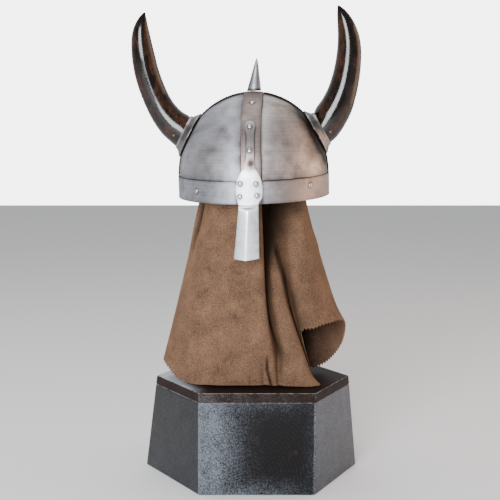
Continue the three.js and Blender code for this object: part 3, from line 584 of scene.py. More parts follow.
def brushed_steel(name, bright, tarnish, dirt, brush, roughness, cloud_scale=18, painted_warm_side=None, cloud=0.6,
                  dirt_share=1.0, edge_glint=1.0):
    """Mild steel, hammered, then brushed with fine wire and darkened with age: it gives the eye a broad soft
    sheen, fine lines along the brush strokes, cloudy tarnish, and brown-black dirt beside the joints, into
    which painted shade is laid where raised parts stand over the surface. Where a warm side is given, the
    right half is tinted with a painted reflection of the warm lamp. The lines are drawn 0.7 mm apart or
    wider, coarser than real ones, so that they show."""
    bloom_brown = 0x8C766B
    material, tree, shader, place = fresh_finish(name)
    shader.inputs["Metallic"].default_value = 1
    shader.inputs["Specular Tint"].default_value = (edge_glint, edge_glint, edge_glint, 1)
    clouds = add(tree, "ShaderNodeTexNoise", {
        "Vector": place, "Scale": cloud_scale, "Detail": 7, "Roughness": 0.62, "Distortion": 0.4})
    cloudy = add(tree, "ShaderNodeMapRange", {
        "Value": clouds.outputs["Fac"], "From Min": 0.4, "From Max": 0.68, "To Max": cloud})
    run = add(tree, "ShaderNodeMapping", {"Vector": place, "Scale": brush})
    strokes = add(tree, "ShaderNodeTexNoise", {
        "Vector": run.outputs["Vector"], "Scale": 1, "Detail": 5, "Roughness": 0.65})
    stroke = add(tree, "ShaderNodeMapRange", {
        "Value": strokes.outputs["Fac"], "From Min": 0.35, "From Max": 0.65, "To Min": -0.16, "To Max": 0.2})
    aged = add(tree, "ShaderNodeMath", {0: cloudy.outputs["Result"], 1: stroke.outputs["Result"]},
               operation="ADD", use_clamp=True)
    base = linear(bright)
    # Where a warm side is given, the right half is tinted warm: painted reflection of the warm lamp on the
    # right
    if painted_warm_side is not None:
        across = add(tree, "ShaderNodeSeparateXYZ", {"Vector": place})
        side = add(tree, "ShaderNodeMapRange", {
            "Value": across.outputs["X"], "From Min": -0.01, "From Max": 0.04})
        base = add(tree, "ShaderNodeMix", {
            0: side.outputs["Result"], 6: linear(bright), 7: linear(painted_warm_side)}, data_type="RGBA").outputs[2]
    steel = add(tree, "ShaderNodeMix", {
        0: aged.outputs["Value"], 6: base, 7: linear(tarnish)}, data_type="RGBA")
    blooms = add(tree, "ShaderNodeTexNoise", {
        "Vector": place, "Scale": cloud_scale * 1.7, "Detail": 5, "Roughness": 0.6, "Distortion": 0.8})
    bloom = add(tree, "ShaderNodeMapRange", {
        "Value": blooms.outputs["Fac"], "From Min": 0.5, "From Max": 0.68, "To Max": 0.55 * cloud})
    steel = add(tree, "ShaderNodeMix", {
        0: bloom.outputs["Result"], 6: steel.outputs[2], 7: linear(bloom_brown)}, data_type="RGBA")
    # The mask darkens joints with dirt and, on some pieces, with painted shade
    joints = add(tree, "ShaderNodeAttribute", attribute_name="dirt_and_painted_shade")
    breaks = add(tree, "ShaderNodeMapRange", {
        "Value": clouds.outputs["Fac"], "From Min": 0.3, "From Max": 0.6,
        "To Min": 0.6 * dirt_share, "To Max": 1.1 * dirt_share})
    ragged = add(tree, "ShaderNodeMath", {0: joints.outputs["Fac"], 1: breaks.outputs["Result"]},
                 operation="MULTIPLY", use_clamp=True)
    dirty = add(tree, "ShaderNodeMix", {
        0: ragged.outputs["Value"], 6: steel.outputs[2], 7: linear(dirt)}, data_type="RGBA")
    tree.links.new(dirty.outputs[2], shader.inputs["Base Color"])
    rough = add(tree, "ShaderNodeMapRange", {
        "Value": aged.outputs["Value"], "To Min": roughness, "To Max": roughness + 0.14})
    tree.links.new(rough.outputs["Result"], shader.inputs["Roughness"])
    lines = add(tree, "ShaderNodeBump", {
        "Height": strokes.outputs["Fac"], "Strength": 0.2, "Distance": 0.00025})
    tree.links.new(lines.outputs["Normal"], shader.inputs["Normal"])
    return material


sideways_brush = (14, 14, 1500)
upright_brush = (1400, 14, 14)
# The bowl's right half is tinted warm: painted reflection of the warm lamp
bowl.data.materials.append(brushed_steel(
    "sideways_brushed_raised_steel", 0xC4C7CE, 0x8C8788, 0x2C2523, sideways_brush, 0.54, cloud_scale=16,
    painted_warm_side=0xE6D4C8, cloud=0.85))
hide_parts("bowl")
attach(bowl, "root")

# Brow band: a flat hoop of steel, brushed sideways and riveted round the bowl's foot. It is brighter than the
# bowl, with dark patches, and dirt lies along its edges and beside the nose guard's spade.


def crisp(piece, width=0.00035):
    """Breaks a plate's sharp edges, as a file does."""
    edge = piece.modifiers.new("filed_edge", "BEVEL")
    edge.width = width
    edge.segments = 2
    edge.limit_method = "ANGLE"
    edge.angle_limit = math.radians(50)
    edge.harden_normals = False


band_sides = 480
band_steps = np.linspace(0, band_height, 13)
band_rings = [bowl_ring(z, 0, seam, band_sides) for z in band_steps]
band_rings += [bowl_ring(z, 0, band_out, band_sides) for z in reversed(band_steps)]
band = solid("brow_band_hoop", [on_stand(r) for r in band_rings])
band_points = np.concatenate(band_rings)
band_edge = np.minimum(band_points[:, 2], band_height - band_points[:, 2])
spade_side = np.maximum(np.abs(band_points[:, 0] + 2.5) - 17.5, 0)
spade_side[band_points[:, 1] > 0] = 99
remember(band, "dirt_and_painted_shade", np.maximum.reduce([
    0.55 * fade(band_edge, 1.4), 0.8 * near_rivets(band_points), 0.8 * fade(spade_side, 2.0)]))
crisp(band)
# The band's right half is tinted warmer and darker: painted reflection of the warm lamp
band.data.materials.append(brushed_steel(
    "sideways_brushed_band_steel", 0xB6BBC3, 0x7E7B7E, 0x3E3634, sideways_brush, 0.46, cloud_scale=24,
    painted_warm_side=0xB2A49F, cloud=0.75))
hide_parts("brow_band")
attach(band, "root")

# Crest strap and side straps: flat steel bars bent over the dome. The crest strap is riveted on and browned,
# with bright edges. The side straps run under the horn cups and are coloured near-black: painted shade for
# their edges, which stand in shadow.

strap_foot = math.asin(seam / crown_rise) + math.radians(0.5)
left_strap_top = math.acos((strap_width / 2 + seam * 2 - crest_drift) / bowl_half_width)
right_strap_top = math.pi - math.acos((strap_width / 2 + seam * 2 + crest_drift) / bowl_half_width)


def bent_bar(name, start, stop, along_x, steps):
    rise = np.linspace(start, stop, steps)[:, None]
    offset = np.linspace(-strap_width / 2, strap_width / 2, 41)[None, :]
    middle = 0 if along_x else crest_middle(rise)
    outer = on_arch(rise, middle + offset, strap_out, along_x)
    inner = on_arch(rise, middle + offset, seam, along_x)
    bar = sheet_solid(name, on_stand(outer), on_stand(inner))
    edge = strap_width / 2 - np.abs(np.broadcast_to(offset, outer.shape[:2]))
    points = outer.reshape(-1, 3)
    from_crown = np.linalg.norm(points - [crest_drift, 0, band_height + crown_rise], axis=1)
    # Dirt lies along the nose guard's neck, which covers the strap's middle
    beside_neck = fade(np.abs(points[:, 0] + 0.4) - 5.4, 1.2) * (points[:, 1] < 0) * (points[:, 2] < 108)
    # Dirt at the rivets and the neck, a line inside each edge, and painted shade round the spike's foot
    dirt = np.maximum.reduce([
        0.7 * near_rivets(points), 0.75 * beside_neck, 0.3 * np.exp(-((edge.reshape(-1) - 1.8) / 0.8) ** 2),
        0.8 * fade(from_crown - 8, 14)])
    remember(bar, "dirt_and_painted_shade", np.concatenate([dirt, dirt]))
    crisp(bar)
    return bar


strap_steel = brushed_steel(
    "browned_strap_steel", 0x968A86, 0x6A605D, 0x3E322D, (14, 900, 14), 0.5, cloud_scale=30,
    edge_glint=0.45)
# Near-black steel for the side straps: painted shade for their shadowed edges
shade_darkened_steel = brushed_steel(
    "shade_darkened_strap_steel", 0x3A332F, 0x221D1B, 0x1A1513, (900, 14, 14), 0.5, cloud_scale=30,
    edge_glint=0.2)
for bar_name, node_name, start, stop, along_x, steps in (
    ("crest_strap_bar", "crest_strap", strap_foot, math.pi - strap_foot, False, 200),
    ("side_strap_left_bar", "side_strap_left", strap_foot, left_strap_top, True, 90),
    ("side_strap_right_bar", "side_strap_right", right_strap_top, math.pi - strap_foot, True, 90),
):
    bar = bent_bar(bar_name, start, stop, along_x, steps)
    bar.data.materials.append(shade_darkened_steel if along_x else strap_steel)
    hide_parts(node_name)
    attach(bar, "root")

# Nose guard: one forged steel plate with a riveted tab and neck on the crest, a spade over the band, and a
# ridged nose piece, polished nearly white where it stands proud.

# Each row is a height, the left and right edges, and the ridge's strength, as shares. Heights above the rim
# are shares of the dome and band together, and those below are shares of nose_length.
nasal_rows = np.array([
    # up, left, right, ridge
    (0.749, -0.05, 0.01, 0),
    (0.744, -0.15, 0.1, 0),
    (0.731, -0.21, 0.17, 0),
    (0.702, -0.235, 0.2, 0),
    (0.672, -0.22, 0.185, 0),
    (0.645, -0.18, 0.16, 0),
    (0.6, -0.158, 0.15, 0),
    (0.49, -0.165, 0.145, 0),
    (0.4, -0.19, 0.14, 0),
    (0.345, -0.26, 0.165, 0),
    (0.3, -0.38, 0.245, 0),
    (0.245, -0.505, 0.36, 0),
    (0.19, -0.575, 0.425, 0),
    (0.13, -0.605, 0.445, 0),
    (0.062, -0.575, 0.41, 0),
    (0.006, -0.52, 0.275, 0),
    (-0.05, -0.51, 0.268, 0.15),
    (-0.16, -0.535, 0.265, 0.8),
    (-0.45, -0.605, 0.265, 0.95),
    (-0.75, -0.68, 0.262, 1),
    (-0.97, -0.742, 0.26, 1),
])
nasal_ridge_at = 0.46
nose_ridge = 4.5
nasal_tip = 0.03


def eased(p0, p1, p2, p3, share, tension=0.5):
    """A place between p1 and p2 on a smooth curve through four rows or rings."""
    t1, t2 = tension * (p2 - p0), tension * (p3 - p1)
    return (
        (2 * share**3 - 3 * share**2 + 1) * p1 + (share**3 - 2 * share**2 + share) * t1
        + (3 * share**2 - 2 * share**3) * p2 + (share**3 - share**2) * t2
    )


def smooth_rows(rows, steps):
    """Rows of a table, eased into each other by a curve through them, at evenly spread places."""
    rows = np.asarray(rows, float)
    last = len(rows) - 1
    at = np.linspace(0, last, steps)
    low = np.minimum(at.astype(int), last - 1)
    share = (at - low)[:, None]
    before, after = rows[np.maximum(low - 1, 0)], rows[np.minimum(low + 2, last)]
    return eased(before, rows[low], rows[low + 1], after, share)


nasal_steps = 181
nasal_columns = 27


def nasal_grid(out):
    rows = smooth_rows(nasal_rows, nasal_steps)
    share = np.linspace(0, 1, nasal_columns)[None, :]
    up, left, right, ridge = (rows[:, k][:, None] for k in range(4))
    x = nose_width * (left + (right - left) * share)
    slope = np.abs(share - nasal_ridge_at) / max(nasal_ridge_at, 1 - nasal_ridge_at)
    peak = 1 - np.sqrt(slope**2 + 0.0016) + 0.04
    dip = np.where(up < -0.9, nose_length * nasal_tip * peak * np.clip((-0.9 - up) / 0.07, 0, 1), 0)
    z = np.where(up > 0, up * tall, up * nose_length) - dip
    point = on_shell(x, z, out)
    dent = 0.7 * np.exp(-((z + 3) / 1.6) ** 2)
    point[..., 1] -= nose_ridge * ridge * peak - dent
    return point


nasal_outer = nasal_grid(nasal_out)
nasal = sheet_solid("nasal_forged_plate", on_stand(nasal_outer), on_stand(nasal_grid(nasal_in)))
nasal_points = nasal_outer.reshape(-1, 3)
from_left = np.arange(nasal_columns)
from_edge = np.minimum(from_left, from_left[::-1]) * nasal_columns / (nasal_columns - 1)
nasal_dirt = np.maximum.reduce([
    0.75 * near_rivets(nasal_points),
    np.where(nasal_points[:, 2] > 46, 0.8, 0.35) * fade(np.tile(from_edge, nasal_steps), 1.5),
    1.1 * np.exp(-((nasal_points[:, 2] - 54) / 7) ** 2 - (nasal_points[:, 0] / 6) ** 2),
    0.6 * np.exp(-((nasal_points[:, 2] + 3) / 1.1) ** 2),
])
remember(nasal, "dirt_and_painted_shade", np.concatenate([nasal_dirt, nasal_dirt]))
upper = np.clip((nasal_points[:, 2] - 41) / 6, 0, 1)
remember(nasal, "greyed", np.concatenate([upper, upper]))
crisp(nasal, 0.0005)
nasal_steel = brushed_steel(
    "polished_forged_steel", 0xF2F6FB, 0xCBD0D5, 0x5B5350, upright_brush, 0.38, cloud_scale=40, cloud=0.5)
nasal.data.materials.append(nasal_steel)
nasal_tree = nasal_steel.node_tree
nasal_shader = nasal_tree.nodes["Principled BSDF"]
plain_colour = nasal_shader.inputs["Base Color"].links[0].from_socket
greyed = add(nasal_tree, "ShaderNodeAttribute", attribute_name="greyed")
duller = add(nasal_tree, "ShaderNodeMix", {
    0: greyed.outputs["Fac"], 6: plain_colour,
    7: add(nasal_tree, "ShaderNodeMix", {0: 1.0, 6: plain_colour, 7: linear(0xA89F9D)},
           data_type="RGBA", blend_type="MULTIPLY").outputs[2]}, data_type="RGBA")
nasal_tree.links.new(duller.outputs[2], nasal_shader.inputs["Base Color"])
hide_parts("nasal")
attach(nasal, "root")

# Rivets: round-headed steel rivets, set hot and peened, that hold the nose guard, the crest strap and the
# brow band to the bowl. One tree places a head and a shank at each seat.

rivet_head = 3.3
rivet_dome = 1.7
rivet_shank = 1.6


def rivet_tree(finish):
    tree = bpy.data.node_groups.new("rivets_at_seats", "GeometryNodeTree")
    for label, kind in (("Seats", "NodeSocketGeometry"), ("Head Radius", "NodeSocketFloat"),
                        ("Dome Height", "NodeSocketFloat"), ("Shank Radius", "NodeSocketFloat")):
        tree.interface.new_socket(label, in_out="INPUT", socket_type=kind)
    tree.interface.new_socket("Rivets", in_out="OUTPUT", socket_type="NodeSocketGeometry")
    given = add(tree, "NodeGroupInput").outputs
    facing = add(tree, "GeometryNodeInputNamedAttribute", {"Name": "facing"}, data_type="FLOAT_VECTOR")
    depth = add(tree, "GeometryNodeInputNamedAttribute", {"Name": "depth"}, data_type="FLOAT")
    turned = add(tree, "FunctionNodeAlignRotationToVector", {"Vector": facing.outputs["Attribute"]}, axis="Z")
    ball = add(tree, "GeometryNodeMeshUVSphere", {"Segments": 28, "Rings": 18, "Radius": 1.0})
    head_size = add(tree, "ShaderNodeCombineXYZ", {
        "X": given["Head Radius"], "Y": given["Head Radius"], "Z": given["Dome Height"]})
    heads = add(tree, "GeometryNodeInstanceOnPoints", {
        "Points": given["Seats"], "Instance": ball.outputs["Mesh"],
        "Rotation": turned.outputs["Rotation"], "Scale": head_size.outputs["Vector"]})
    pin = add(tree, "GeometryNodeMeshCylinder", {"Vertices": 20, "Radius": 1.0, "Depth": 1.0})
    hung = add(tree, "GeometryNodeTransform", {"Geometry": pin.outputs["Mesh"], "Translation": (0, 0, -0.5)})
    shank_size = add(tree, "ShaderNodeCombineXYZ", {
        "X": given["Shank Radius"], "Y": given["Shank Radius"], "Z": depth.outputs["Attribute"]})
    shanks = add(tree, "GeometryNodeInstanceOnPoints", {
        "Points": given["Seats"], "Instance": hung.outputs["Geometry"],
        "Rotation": turned.outputs["Rotation"], "Scale": shank_size.outputs["Vector"]})
    both = add(tree, "GeometryNodeJoinGeometry")
    tree.links.new(heads.outputs["Instances"], both.inputs["Geometry"])
    tree.links.new(shanks.outputs["Instances"], both.inputs["Geometry"])
    real = add(tree, "GeometryNodeRealizeInstances", {"Geometry": both.outputs["Geometry"]})
    smooth = add(tree, "GeometryNodeSetShadeSmooth", {"Geometry": real.outputs["Geometry"]})
    dressed = add(tree, "GeometryNodeSetMaterial", {
        "Geometry": smooth.outputs["Geometry"], "Material": finish})
    add(tree, "NodeGroupOutput", {"Rivets": dressed.outputs["Geometry"]})
    return tree


def grown(name, seats, facings, depths, tree, sizes):
    """Runs a tree on a set of seats and keeps what it makes as a plain mesh."""
    mesh = bpy.data.meshes.new(name + "_seats")
    mesh.from_pydata((np.asarray(seats) / 1000).tolist(), [], [])
    mesh.attributes.new("facing", "FLOAT_VECTOR", "POINT").data.foreach_set(
        "vector", np.asarray(facings, np.float32).ravel())
    mesh.attributes.new("depth", "FLOAT", "POINT").data.foreach_set(
        "value", np.asarray(depths, np.float32) / 1000)
    carrier = bpy.data.objects.new(name + "_seats", mesh)
    bpy.context.scene.collection.objects.link(carrier)
    run = carrier.modifiers.new("grow", "NODES")
    run.node_group = tree
    named = {item.name: item.identifier for item in tree.interface.items_tree if item.in_out == "INPUT"}
    for label, size in sizes.items():
        run[named[label]] = size / 1000
    seen = carrier.evaluated_get(bpy.context.evaluated_depsgraph_get())
    plain = bpy.data.meshes.new_from_object(seen)
    plain.name = name
    carrier.modifiers.clear()
    bpy.data.objects.remove(carrier)
    piece = bpy.data.objects.new(name, plain)
    bpy.context.scene.collection.objects.link(piece)
    return piece


rivet_steel = brushed_steel(
    "peened_rivet_steel", 0xC9CCCF, 0x8E8C8D, 0x5B5350, (300, 300, 300), 0.34, cloud_scale=120, cloud=0.4)
facings = shell_facing(rivet_seats)
turn_only = helmet_turning[:3, :3]
rivets = grown(
    "peened_rivets", on_stand(rivet_seats + facings * seam), facings @ turn_only.T,
    [depth for _, depth in rivet_places], rivet_tree(rivet_steel),
    {"Head Radius": rivet_head, "Dome Height": rivet_dome, "Shank Radius": rivet_shank})
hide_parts(*[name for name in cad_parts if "_rivet" in name])
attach(rivets, "root")

# Crown spike: a slim cone of forged steel with a flat foot, filed smooth and set on the crest strap. It leans
# a little to the right, and its foot is painted dark: painted shade under its flare.

spike_height = 46
spike_base = 10.4
spike_lean = 6
spike_profile = smooth_rows([
    # wide, up
    (1, 0.016), (0.94, 0.045), (0.85, 0.16), (0.61, 0.42), (0.35, 0.72), (0.13, 0.94), (0.05, 0.985),
], 60)


def ring_of(radius, height, sides):
    angle = np.linspace(0, 2 * math.pi, sides, endpoint=False)
    return np.stack([radius * np.cos(angle), radius * np.sin(angle), np.full(sides, height)], axis=1)


spike_seat = band_height + crown_rise + cup_seat


def leant(points):
    points = np.asarray(points, float)
    shift = crest_drift + points[..., 2:3] * math.tan(math.radians(spike_lean))
    return points + shift * [1, 0, 0] + [0, 0, spike_seat]


spike_rings = [ring_of(spike_base * wide, spike_height * up, 40)
               for wide, up in [(1, 0), (1, 0.012), *spike_profile]]
spike_ends = leant([(0, 0, 0), (0, 0, spike_height)])
spike = solid(
    "crown_spike_forged", [on_stand(leant(r)) for r in spike_rings], *on_stand(spike_ends), sharp=50)
spike_up = np.concatenate([r[:, 2] for r in spike_rings] + [[0, spike_height]])
# Painted shade: the foot is darkened, most at the bottom, under the flare
remember(spike, "dirt_and_painted_shade", np.clip(1.5 - spike_up / (spike_height * 0.07), 0, 1))
spike.data.materials.append(brushed_steel(
    "forged_spike_steel", 0xA6ABB1, 0x77777A, 0x3A2C26, (60, 60, 500), 0.5, cloud_scale=60, cloud=0.6,
    edge_glint=0.3))
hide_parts("crown_spike")
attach(spike, "root")

# Horn cups: turned steel sockets on the side straps, each with a flange that follows the dome. Turning left
# fine rings on them. A grey band darkens the collar, and painted shade darkens the flange's foot and the
# bore.

cup_height = 6.8
flange_thick = 1.8


def reach_dome(start, direction, out):
    """How far along a direction the surface `out` outside the bowl lies, for each start."""
    scale = np.array([bowl_half_width + out, bowl_half_length + out, crown_rise + out])
    begin = (start - [0, 0, band_height]) / scale
    step = direction / scale
    a, b = step @ step, begin @ step
    c = np.einsum("ij,ij->i", begin, begin) - 1
    return (-b + np.sqrt(b * b - a * c)) / a


def cup_ring(side, radius, on_seat, height, sides=96):
    """One turn of a cup's wall, at a height over the strap's surface or over the flat through its middle."""
    out = cup_axis(side)
    well_inside = 60
    forward = np.array([0.0, 1.0, 0.0])
    along = -side * np.cross(forward, out)
    angle = np.linspace(0, 2 * math.pi, sides, endpoint=False)[:, None]
    turn = np.cos(angle) * forward + np.sin(angle) * along
    start = cup_seat_point(side) - well_inside * out + radius * turn
    reach = reach_dome(start, out, cup_seat)[:, None] + height if on_seat else well_inside + height
    return start + reach * out


def cup_profile(side):
    """Up the bore, over the lip, down the collar that slopes to the dome, and round the flange's rim."""
    wall = cup_bore + cup_wall
    edge = wall + flange_reach
    foot = [(cup_bore, True, 0), (cup_bore, False, cup_height - 0.3), (cup_bore + 0.25, False, cup_height)]
    lip = [(wall - 0.5, False, cup_height), (wall - 0.1, False, cup_height - 0.2),
           (wall + 0.1, False, cup_height - 0.6)]
    collar = [(wall + 0.6, True, flange_thick + 4.6), (wall + 2.2, True, flange_thick + 3.3),
              (wall + 4.2, True, flange_thick + 2.0), (wall + 6.2, True, flange_thick + 0.9)]
    rim = [(edge - 1.1, True, flange_thick), (edge - 0.35, True, flange_thick * 0.86),
           (edge - 0.05, True, flange_thick * 0.5), (edge, True, 0)]
    return [cup_ring(side, *row) for row in foot + lip + collar + rim]


# How dark each ring is: the bore and the flange's foot carry painted shade, the collar a grey band
cup_darkening_share = [1, 1, 0.5, 0.1, 0, 0.1, 0.4, 0.45, 0.4, 0.35, 0.1, 0.05, 0.7, 1]
cup_steel = brushed_steel(
    "turned_cup_steel", 0xB6B3B4, 0x7C7675, 0x241E1C, (240, 240, 900), 0.36, cloud_scale=50, cloud=0.75)
for side, label in ((-1, "left"), (1, "right")):
    rings = cup_profile(side)
    cup = solid(f"horn_cup_{label}_turned", [on_stand(r) for r in rings], sharp=60)
    remember(cup, "dirt_and_painted_shade", np.repeat(cup_darkening_share, len(rings[0])))
    cup.data.materials.append(cup_steel)
    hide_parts(f"horn_cup_{label}")
    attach(cup, "root")

# Horns: two natural horns, each with its own curve, boiled, scraped and polished nearly black, with brown
# streaks and a tan edge near the root. A nail holds each in its cup.

horn_girth = 23.8
horn_swing = 60
horn_rise = 172
horn_sweep = 12
horn_wall = 4
horn_hollow = 0.3
left_horn_rows = [
    # reach, rise, girth, lean
    (0, 0, 0.985, 28),
    (0.115, 0.035, 0.955, 37),
    (0.265, 0.08, 0.9, 46),
    (0.445, 0.162, 0.83, 56),
    (0.58, 0.25, 0.785, 64),
    (0.685, 0.34, 0.77, 70),
    (0.77, 0.43, 0.755, 75),
    (0.835, 0.52, 0.735, 80),
    (0.88, 0.618, 0.705, 84),
    (0.906, 0.702, 0.65, 87),
    (0.918, 0.775, 0.585, 91),
    (0.912, 0.838, 0.495, 96),
    (0.89, 0.89, 0.38, 101),
    (0.855, 0.937, 0.24, 107),
    (0.815, 0.976, 0.08, 112),
]
right_horn_rows = [
    # reach, rise, girth, lean
    (0, 0, 0.985, 28),
    (0.085, 0.035, 1, 44),
    (0.2, 0.1, 1.005, 57),
    (0.34, 0.182, 0.955, 65),
    (0.458, 0.284, 0.875, 72),
    (0.545, 0.39, 0.82, 77),
    (0.605, 0.503, 0.77, 83),
    (0.635, 0.614, 0.72, 89),
    (0.63, 0.705, 0.66, 95),
    (0.593, 0.79, 0.565, 101),
    (0.528, 0.87, 0.43, 107),
    (0.458, 0.932, 0.265, 112),
    (0.4, 0.975, 0.09, 115),
]


def horn_section(centre, radius, lean, side, sides=64):
    forward = np.array([0.0, 1.0, 0.0])
    inward = np.array([-side * math.sin(lean), 0, math.cos(lean)])
    angle = np.linspace(0, 2 * math.pi, sides, endpoint=False)[:, None]
    return centre + radius * (np.cos(angle) * forward + np.sin(angle) * inward)


def horn_course(rows, side, steps):
    """Centre, radius and lean of the sections, from the cup's mouth to the tip."""
    mouth = cup_seat_point(side) + cup_height * cup_axis(side)
    reach, rise, girth, lean = smooth_rows(rows, steps).T
    centre = mouth + np.stack([side * horn_swing * reach, -horn_sweep * rise**2, horn_rise * rise], axis=1)
    return centre, horn_girth * girth, np.radians(lean)


def horn(name, rows, side):
    steps = 180
    centre, radius, lean = horn_course(rows, side, steps)
    root = cup_seat_point(side) + seam * cup_axis(side)
    root_lean = math.radians(rows[0][3])
    wide = horn_girth * rows[0][2]
    hollow = [horn_section(root, wide - horn_wall, root_lean, side)]
    deep = int(horn_hollow * steps)
    for k in range(0, deep + 1, 6):
        share = k / deep
        thin = radius[k] - horn_wall - share * horn_girth * 0.35
        hollow.append(horn_section(centre[k], thin, lean[k], side))
    outside = [horn_section(root, wide, root_lean, side)]
    outside += [horn_section(centre[k], radius[k], lean[k], side) for k in range(steps)]
    onward = np.array([side * math.cos(lean[-1]), 0, math.sin(lean[-1])])
    for share, shrink in ((0.35, 0.93), (0.7, 0.68), (0.9, 0.4)):
        blunt = centre[-1] + onward * radius[-1] * share
        outside.append(horn_section(blunt, radius[-1] * shrink, lean[-1], side))
    tip = centre[-1] + onward * radius[-1]
    bottom = centre[deep] + (centre[deep + 6] - centre[deep]) * 0.5
    rings = hollow[::-1] + outside
    piece = solid(name, [on_stand(r) for r in rings], *on_stand([bottom, tip]), sharp=60)
    sides = len(rings[0])
    lengths = np.concatenate([np.zeros(len(hollow) + 1), np.linspace(0, 1, steps), [1, 1, 1]])
    around = np.sin(np.linspace(0, 2 * math.pi, sides, endpoint=False))
    remember(piece, "along", np.concatenate([np.repeat(lengths, sides), [0, 1]]))
    remember(piece, "inner_side", np.concatenate([np.tile(around, len(rings)), [0, 0]]))
    return piece


def polished_horn(name, dark, brown, amber):
    """Buffalo horn, scraped and polished: it gives the eye near-black with cloudy brown spots, a paler tan
    near the root and on the inner curve, and a hard bright highlight. The clouds are about 11 mm across and
    24 mm long."""
    material, tree, shader, place = fresh_finish(name)
    stretch = add(tree, "ShaderNodeMapping", {"Vector": place, "Scale": (90, 90, 42)})
    spots = add(tree, "ShaderNodeTexNoise", {
        "Vector": stretch.outputs["Vector"], "Scale": 1, "Detail": 6, "Roughness": 0.68, "Distortion": 0.6})
    mottled = add(tree, "ShaderNodeMapRange", {
        "Value": spots.outputs["Fac"], "From Min": 0.5, "From Max": 0.72})
    blotches = add(tree, "ShaderNodeMix", {
        0: mottled.outputs["Result"], 6: linear(dark), 7: linear(brown)}, data_type="RGBA")
    inner = add(tree, "ShaderNodeAttribute", attribute_name="inner_side")
    flanks = add(tree, "ShaderNodeMath", {0: inner.outputs["Fac"], 1: 0.6}, operation="PINGPONG")
    browner = add(tree, "ShaderNodeMapRange", {
        "Value": flanks.outputs["Value"], "From Min": 0.15, "From Max": 0.6, "To Min": -0.08, "To Max": 0.1})
    spotted = add(tree, "ShaderNodeMath", {0: spots.outputs["Fac"], 1: browner.outputs["Result"]},
                  operation="ADD")
    tree.links.new(spotted.outputs["Value"], mottled.inputs["Value"])
    tanned = add(tree, "ShaderNodeMapRange", {
        "Value": inner.outputs["Fac"], "From Min": 0.84, "From Max": 1.0, "To Max": 0.4})
    along = add(tree, "ShaderNodeAttribute", attribute_name="along")
    low_down = add(tree, "ShaderNodeMapRange", {
        "Value": along.outputs["Fac"], "From Min": 0.75, "From Max": 0.1, "To Max": 1.0})
    tan = add(tree, "ShaderNodeMath", {0: tanned.outputs["Result"], 1: low_down.outputs["Result"]},
              operation="MULTIPLY", use_clamp=True)
    patchy = add(tree, "ShaderNodeMapRange", {
        "Value": spots.outputs["Fac"], "From Min": 0.35, "From Max": 0.6, "To Min": 0.2, "To Max": 1.1})
    ragged = add(tree, "ShaderNodeMath", {0: tan.outputs["Value"], 1: patchy.outputs["Result"]},
                 operation="MULTIPLY", use_clamp=True)
    coloured = add(tree, "ShaderNodeMix", {
        0: ragged.outputs["Value"], 6: blotches.outputs[2], 7: linear(amber)}, data_type="RGBA")
    tree.links.new(coloured.outputs[2], shader.inputs["Base Color"])
    dull = add(tree, "ShaderNodeMapRange", {
        "Value": spots.outputs["Fac"], "From Min": 0.3, "From Max": 0.7, "To Min": 0.1, "To Max": 0.22})
    tree.links.new(dull.outputs["Result"], shader.inputs["Roughness"])
    shader.inputs["IOR"].default_value = 1.56
    shader.inputs["Specular IOR Level"].default_value = 0.42
    grain = add(tree, "ShaderNodeBump", {
        "Height": spots.outputs["Fac"], "Strength": 0.15, "Distance": 0.0005})
    tree.links.new(grain.outputs["Normal"], shader.inputs["Normal"])
    return material


horn_stuff = polished_horn("polished_buffalo_horn", 0x0C0705, 0x3C2213, 0x6E4A30)
# Old brass gone brown is brushed and soiled as the steel is, only warmer and darker
nail_brass = brushed_steel(
    "old_brass_nail", 0x7A6250, 0x4A3A2E, 0x22160E, (300, 300, 300), 0.5, cloud_scale=200, cloud=0.6)
nail_tree = rivet_tree(nail_brass)
nail_head = 2.4
nail_dome = 1.2
nail_shank = 1.0
nail_length = 9
nail_along = 0.06
nail_around = math.radians(28)
for side, label, rows in ((-1, "left", left_horn_rows), (1, "right", right_horn_rows)):
    piece = horn(f"horn_{label}_polished", rows, side)
    piece.data.materials.append(horn_stuff)
    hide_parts(f"horn_{label}")
    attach(piece, "root")
    centre, radius, lean = (part[int(nail_along * 1000)] for part in horn_course(rows, side, 1001))
    inward = np.array([-side * math.sin(lean), 0, math.cos(lean)])
    facing = np.array([0, -math.cos(nail_around), 0]) - math.sin(nail_around) * inward
    seat = centre + facing * (radius + seam)
    nail = grown(
        f"horn_nail_{label}_brass", [on_stand(seat)], [facing @ turn_only.T], [nail_length], nail_tree,
        {"Head Radius": nail_head, "Dome Height": nail_dome, "Shank Radius": nail_shank})
    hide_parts(f"horn_nail_{label}")
    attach(nail, "root")

# Drape: one hide of soft brown suede thrown over the head form, which falls in folds to the plinth. Its edge
# is cut with pinking shears. The folds follow strands that run down from the form, from the back round.

drape_thick = 1.6
drape_half_width = 133
drape_half_depth = 92
drape_mid_share = 0.46
form_half_width = 76
form_half_length = 90
form_dome = 60
nap_ease = 0.6
form_top = band_height + crown_rise - bowl_wall - seam - nap_ease - drape_thick - seam
form_shoulder = form_top - form_dome

